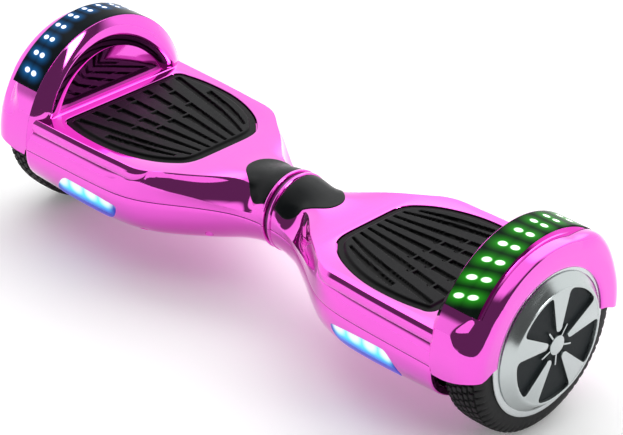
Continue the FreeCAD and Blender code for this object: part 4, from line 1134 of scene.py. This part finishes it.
def strip_light(name, colour):
    """Glossy dark strip with two rows of lit chips, each with a halo under the lens."""
    material = surface(name, (0.006, 0.008, 0.009), 0.12, shade=0.4, grain=160.0, specular=0.10,
                       spread=0.02)
    tree, sockets = tree_of(material)
    feed(sockets["IOR"], 1.2)
    along, across = light_place(tree)
    number = along.maths("ROUND").maths("MAXIMUM", 0.0).maths("MINIMUM", 9.0)
    away = root_of_squares((along - number) * 6.4, (across.maths("ABSOLUTE") - 0.5) * 2.5)
    core = away.ranged(0.6, 1.12, 1.0, 0.0, smooth=True)
    halo = away.ranged(0.9, 4.0, 1.0, 0.0).maths("POWER", 1.7)
    feed(sockets["Emission Color"], core.blended(colour, (1.0, 1.0, 1.0)))
    feed(sockets["Emission Strength"], core * 1.6 + halo * 0.30 + 0.004)
    return material


def headlight_light(name):
    """Clear lens over a lit board: white spots in cyan, deep blue towards the lower edge."""
    material = surface(name, (0.01, 0.04, 0.10), 0.12, shade=0.2, grain=120.0, specular=0.3)
    tree, sockets = tree_of(material)
    along, height = light_place(tree)
    place = along * 4.0 - 0.5
    away = root_of_squares(place - place.maths("ROUND"), (height - 0.95) * 1.6)
    spot = away.ranged(0.22, 0.62, 1.0, 0.0, smooth=True)
    ends = (along - 0.5).maths("ABSOLUTE").ranged(0.36, 0.50, 1.0, 0.0, smooth=True)
    deep = ends * height.ranged(0.34, 0.56, smooth=True)
    pale = ends * height.ranged(0.48, 0.74, smooth=True)
    field = pale.blended(deep.blended((0.01, 0.012, 0.42), (0.06, 0.26, 0.9)), (0.10, 0.90, 0.95))
    feed(sockets["Emission Color"], spot.blended(field, (0.95, 1.0, 1.0)))
    feed(sockets["Emission Strength"], 0.95)
    return material


def pad_rubber():
    """Dark rubber with a fine grain; painted shade turns everything below the top of the slats, the
    groove floors and the low outer band, near black.
    """
    material = surface("pad_rubber", (0.0042, 0.0042, 0.0052), 0.44, shade=0.15, grain=500.0,
                       bump=0.02, bump_scale=3200.0, specular=0.09)
    tree, sockets = tree_of(material)
    slats = Signal(tree, sockets["Base Color"].links[0].from_socket)
    up = object_place(tree).axes()[2]
    # painted shade: below the slat tops the rubber is painted near black, standing in for the shade in
    # the grooves and on the outer band
    height = up.ranged((DECK_Z + 0.55) * MM, (PAD_TOP - 0.12) * MM, smooth=True)
    feed(sockets["Base Color"], height.blended((0.001, 0.001, 0.0012), slats))
    return material


PLAIN = {
    "pink_shell": dict(tint=(0.83, 0.084, 0.65), roughness=0.05, metal=1.0, coat=0.9, shade=0.012,
                       grain=90.0, spread=0.012, bump=0.012, bump_scale=60.0),
    "trim_black": dict(tint=(0.005, 0.0065, 0.0072), roughness=0.34, shade=0.12, bump=0.008,
                       specular=0.13),
    "lens_black": dict(tint=(0.012, 0.014, 0.016), roughness=0.08, coat=0.5),
    "board_green": dict(tint=(0.02, 0.16, 0.06), roughness=0.45, shade=0.3),
    "led_green": dict(tint=(0.30, 0.9, 0.35), roughness=0.35),
    "led_blue": dict(tint=(0.25, 0.55, 1.0), roughness=0.35),
    "headlight": dict(tint=(0.5, 0.8, 1.0), roughness=0.15),
    "frame_alloy": dict(tint=(0.55, 0.56, 0.57), roughness=0.42, metal=1.0, bump=0.03,
                        bump_scale=900.0),
    "screw_steel": dict(tint=(0.50, 0.50, 0.50), roughness=0.30, metal=1.0),
    "core_steel": dict(tint=(0.22, 0.22, 0.24), roughness=0.45, metal=1.0),
    "copper": dict(tint=(0.75, 0.30, 0.14), roughness=0.35, metal=1.0, shade=0.25, grain=700.0),
    "tyre_black": dict(tint=(0.0045, 0.0045, 0.0052), roughness=0.6, shade=0.25, grain=260.0,
                       bump=0.03, bump_scale=1500.0, specular=0.3),
    "window_dark": dict(tint=(0.014, 0.018, 0.020), roughness=0.5, shade=0.2, bump=0.01,
                        specular=0.12),
    "magnet_metal": dict(tint=(0.5, 0.5, 0.5), roughness=0.35, metal=1.0),
    # painted shade: the pivot ring is matt dark purple, standing in for pink chrome in the shade of its
    # groove
    "ring_purple": dict(tint=(0.16, 0.012, 0.13), roughness=0.3, shade=0.2),
    "battery_wrap": dict(tint=(0.03, 0.10, 0.32), roughness=0.4, shade=0.15),
    "port_metal": dict(tint=(0.55, 0.55, 0.56), roughness=0.28, metal=1.0),
    "cap_rubber": dict(tint=(0.028, 0.028, 0.030), roughness=0.55, shade=0.2, bump=0.02),
    "button_black": dict(tint=(0.02, 0.02, 0.022), roughness=0.35, shade=0.2),
}
TURNED = {
    "shaft_steel": ((0.60, 0.60, 0.60), 0.25),
    "rim_alloy": ((0.62, 0.65, 0.66), 0.27),
    "hub_silver": ((0.50, 0.54, 0.54), 0.20),
    "bush_brass": ((0.72, 0.53, 0.25), 0.3),
}
FINISHES = {
    "pad_rubber": pad_rubber(),
    "strip_right": strip_light("strip_right", (0.06, 1.0, 0.03)),
    "strip_left": strip_light("strip_left", (0.02, 0.34, 1.0)),
    "headlight_lit": headlight_light("headlight_lit"),
}
FINISHES.update({name: surface(name, **values) for name, values in PLAIN.items()})
FINISHES.update({name: turned_metal(name, *values) for name, values in TURNED.items()})

# ---------------------------------------------------------------- assembly


def dress(item, finish):
    item.data.materials.clear()
    item.data.materials.append(FINISHES[finish])


def fit(item, body, slot, finish, *nodes):
    """Gives a piece its finish and body, and hides the CAD nodes it stands for."""
    dress(item, finish)
    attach(item, body)
    if nodes:
        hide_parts(*nodes)


for name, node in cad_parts.items():
    slot = node.data.materials[0].name.split(".")[0]
    dress(node, slot)

REAR_OPENINGS = [(140, 67, 9.5), (180, 67, 7.5)]
for side in SIDES:
    half, wheel, pad = f"{side}_half", f"{side}_wheel", f"{side}_pad"
    openings = REAR_OPENINGS if side == "right" else ()
    fit(build_upper_cover(side), half, "pink_shell", "pink_shell", f"{side}_upper_cover")
    fit(build_lower_cover(side, openings), half, "pink_shell", "pink_shell", f"{side}_lower_cover")
    fit(build_trim(side), half, "trim_black", "trim_black", f"{side}_center_trim")
    fit(build_pad(side), pad, "pad_rubber", "pad_rubber", f"{side}_foot_pad")
    fit(build_led_lens(side), half, "lens_black", f"strip_{side}", f"{side}_led_lens")
    fit(build_headlight(side), half, "headlight", "headlight_lit", f"{side}_headlight_lens")
    fit(build_tyre(side), wheel, "tyre_black", "tyre_black", f"{side}_tyre")
    fit(build_rim(side), wheel, "rim_alloy", "rim_alloy", f"{side}_rim")
    fit(build_hub(side), wheel, "hub_silver", "hub_silver", f"{side}_hub_cover_outer")
    fit(build_hub_insert(side), wheel, "window_dark", "window_dark", f"{side}_hub_insert")
fit(build_ring(), "left_half", "ring_purple", "ring_purple", "pivot_ring")
fit(build_bezels(), "right_half", "pink_shell", "pink_shell")


# ---------------------------------------------------------------- studio

FLOOR_SIZE = 9.0
SKY = 1.22
DIM = 0.12
# direction, inner and outer half angle in degrees, brightness
LOBES = [
    ((-0.60, 0.10, 0.79), 7, 12, 3.2),
    ((0.90, 0.31, 0.28), 5, 9, 12.0),
    ((-0.15, 0.62, 0.77), 18, 32, 2.6),
]


def build_floor():
    half = FLOOR_SIZE / 2
    mesh = bpy.data.meshes.new("floor")
    corners = [(-half, -half, 0), (half, -half, 0), (half, half, 0), (-half, half, 0)]
    mesh.from_pydata(corners, [], [(0, 1, 2, 3)])
    item = bpy.data.objects.new("floor", mesh)
    bpy.context.scene.collection.objects.link(item)
    paper = surface("floor_paper", (0.94, 0.94, 0.94), 0.9, shade=0.01, grain=4.0)
    sockets = tree_of(paper)[1]
    feed(sockets["Emission Color"], (1.0, 1.0, 1.0))
    feed(sockets["Emission Strength"], 0.16)
    item.data.materials.append(paper)


def build_world():
    """Bright surround with a dim room in front and on the right, and three soft boxes."""
    world = bpy.data.worlds.new("studio")
    bpy.context.scene.world = world
    world.use_nodes = True
    tree = world.node_tree
    direction = Signal(tree, tree.nodes.new("ShaderNodeTexCoord").outputs["Generated"])
    aside, ahead, up = direction.axes()
    sideways = (aside * 0.42).maths("MAXIMUM", aside * 0.68)
    front = (ahead * -0.90 + sideways).ranged(-0.10, 0.08, smooth=True)
    roof = aside.ranged(-0.4, 0.1) * 0.17 + 0.73
    below_roof = (up - roof).ranged(0.07, -0.07, smooth=True)
    above_floor = up.ranged(0.13, 0.25, smooth=True)
    not_left = aside.ranged(-0.56, -0.46, smooth=True)
    right = aside.ranged(0.70, 0.80) * up.ranged(0.02, 0.10)
    high = above_floor.maths("MAXIMUM", not_left).maths("MAXIMUM", right)
    near = aside.ranged(-0.72, -0.64, smooth=True)
    level = (front * below_roof * high * near).blended(SKY, DIM)
    for towards, inner, outer, brightness in LOBES:
        dot = tree.nodes.new("ShaderNodeVectorMath")
        dot.operation = "DOT_PRODUCT"
        dot.inputs[1].default_value = Vector(towards).normalized()
        feed(dot.inputs[0], direction)
        share = Signal(tree, dot.outputs["Value"]).ranged(
            math.cos(math.radians(outer)), math.cos(math.radians(inner)), smooth=True)
        level = share.blended(level, brightness)
    back = tree.nodes["Background"].inputs
    feed(back["Color"], (1.0, 1.0, 1.0))
    feed(back["Strength"], level)


def build_camera():
    """Camera at the given viewing angle: a long lens from the right front, above."""
    azimuth, elevation, roll = (math.radians(a) for a in (42.92, 30.10, 2.16))
    target, distance = Vector((20.98, -0.71, 86.05)), 2357.86
    level = math.cos(elevation)
    back = Vector((math.sin(azimuth) * level, -math.cos(azimuth) * level, math.sin(elevation)))
    right = (-back).cross(Vector((0, 0, 1))).normalized()
    up = right.cross(-back)
    cos, sin = math.cos(roll), math.sin(roll)
    right, up = right * cos + up * sin, up * cos - right * sin
    data = bpy.data.cameras.new("camera")
    data.sensor_width = 36.0
    data.lens = 160.55
    data.clip_end = 50.0
    camera = bpy.data.objects.new("camera", data)
    bpy.context.scene.collection.objects.link(camera)
    matrix = Matrix((right, up, back)).transposed().to_4x4()
    matrix.translation = (target + back * distance) * MM
    camera.matrix_world = matrix
    bpy.context.scene.camera = camera


build_floor()
build_world()
build_camera()
bpy.context.scene.view_settings.view_transform = "Standard"
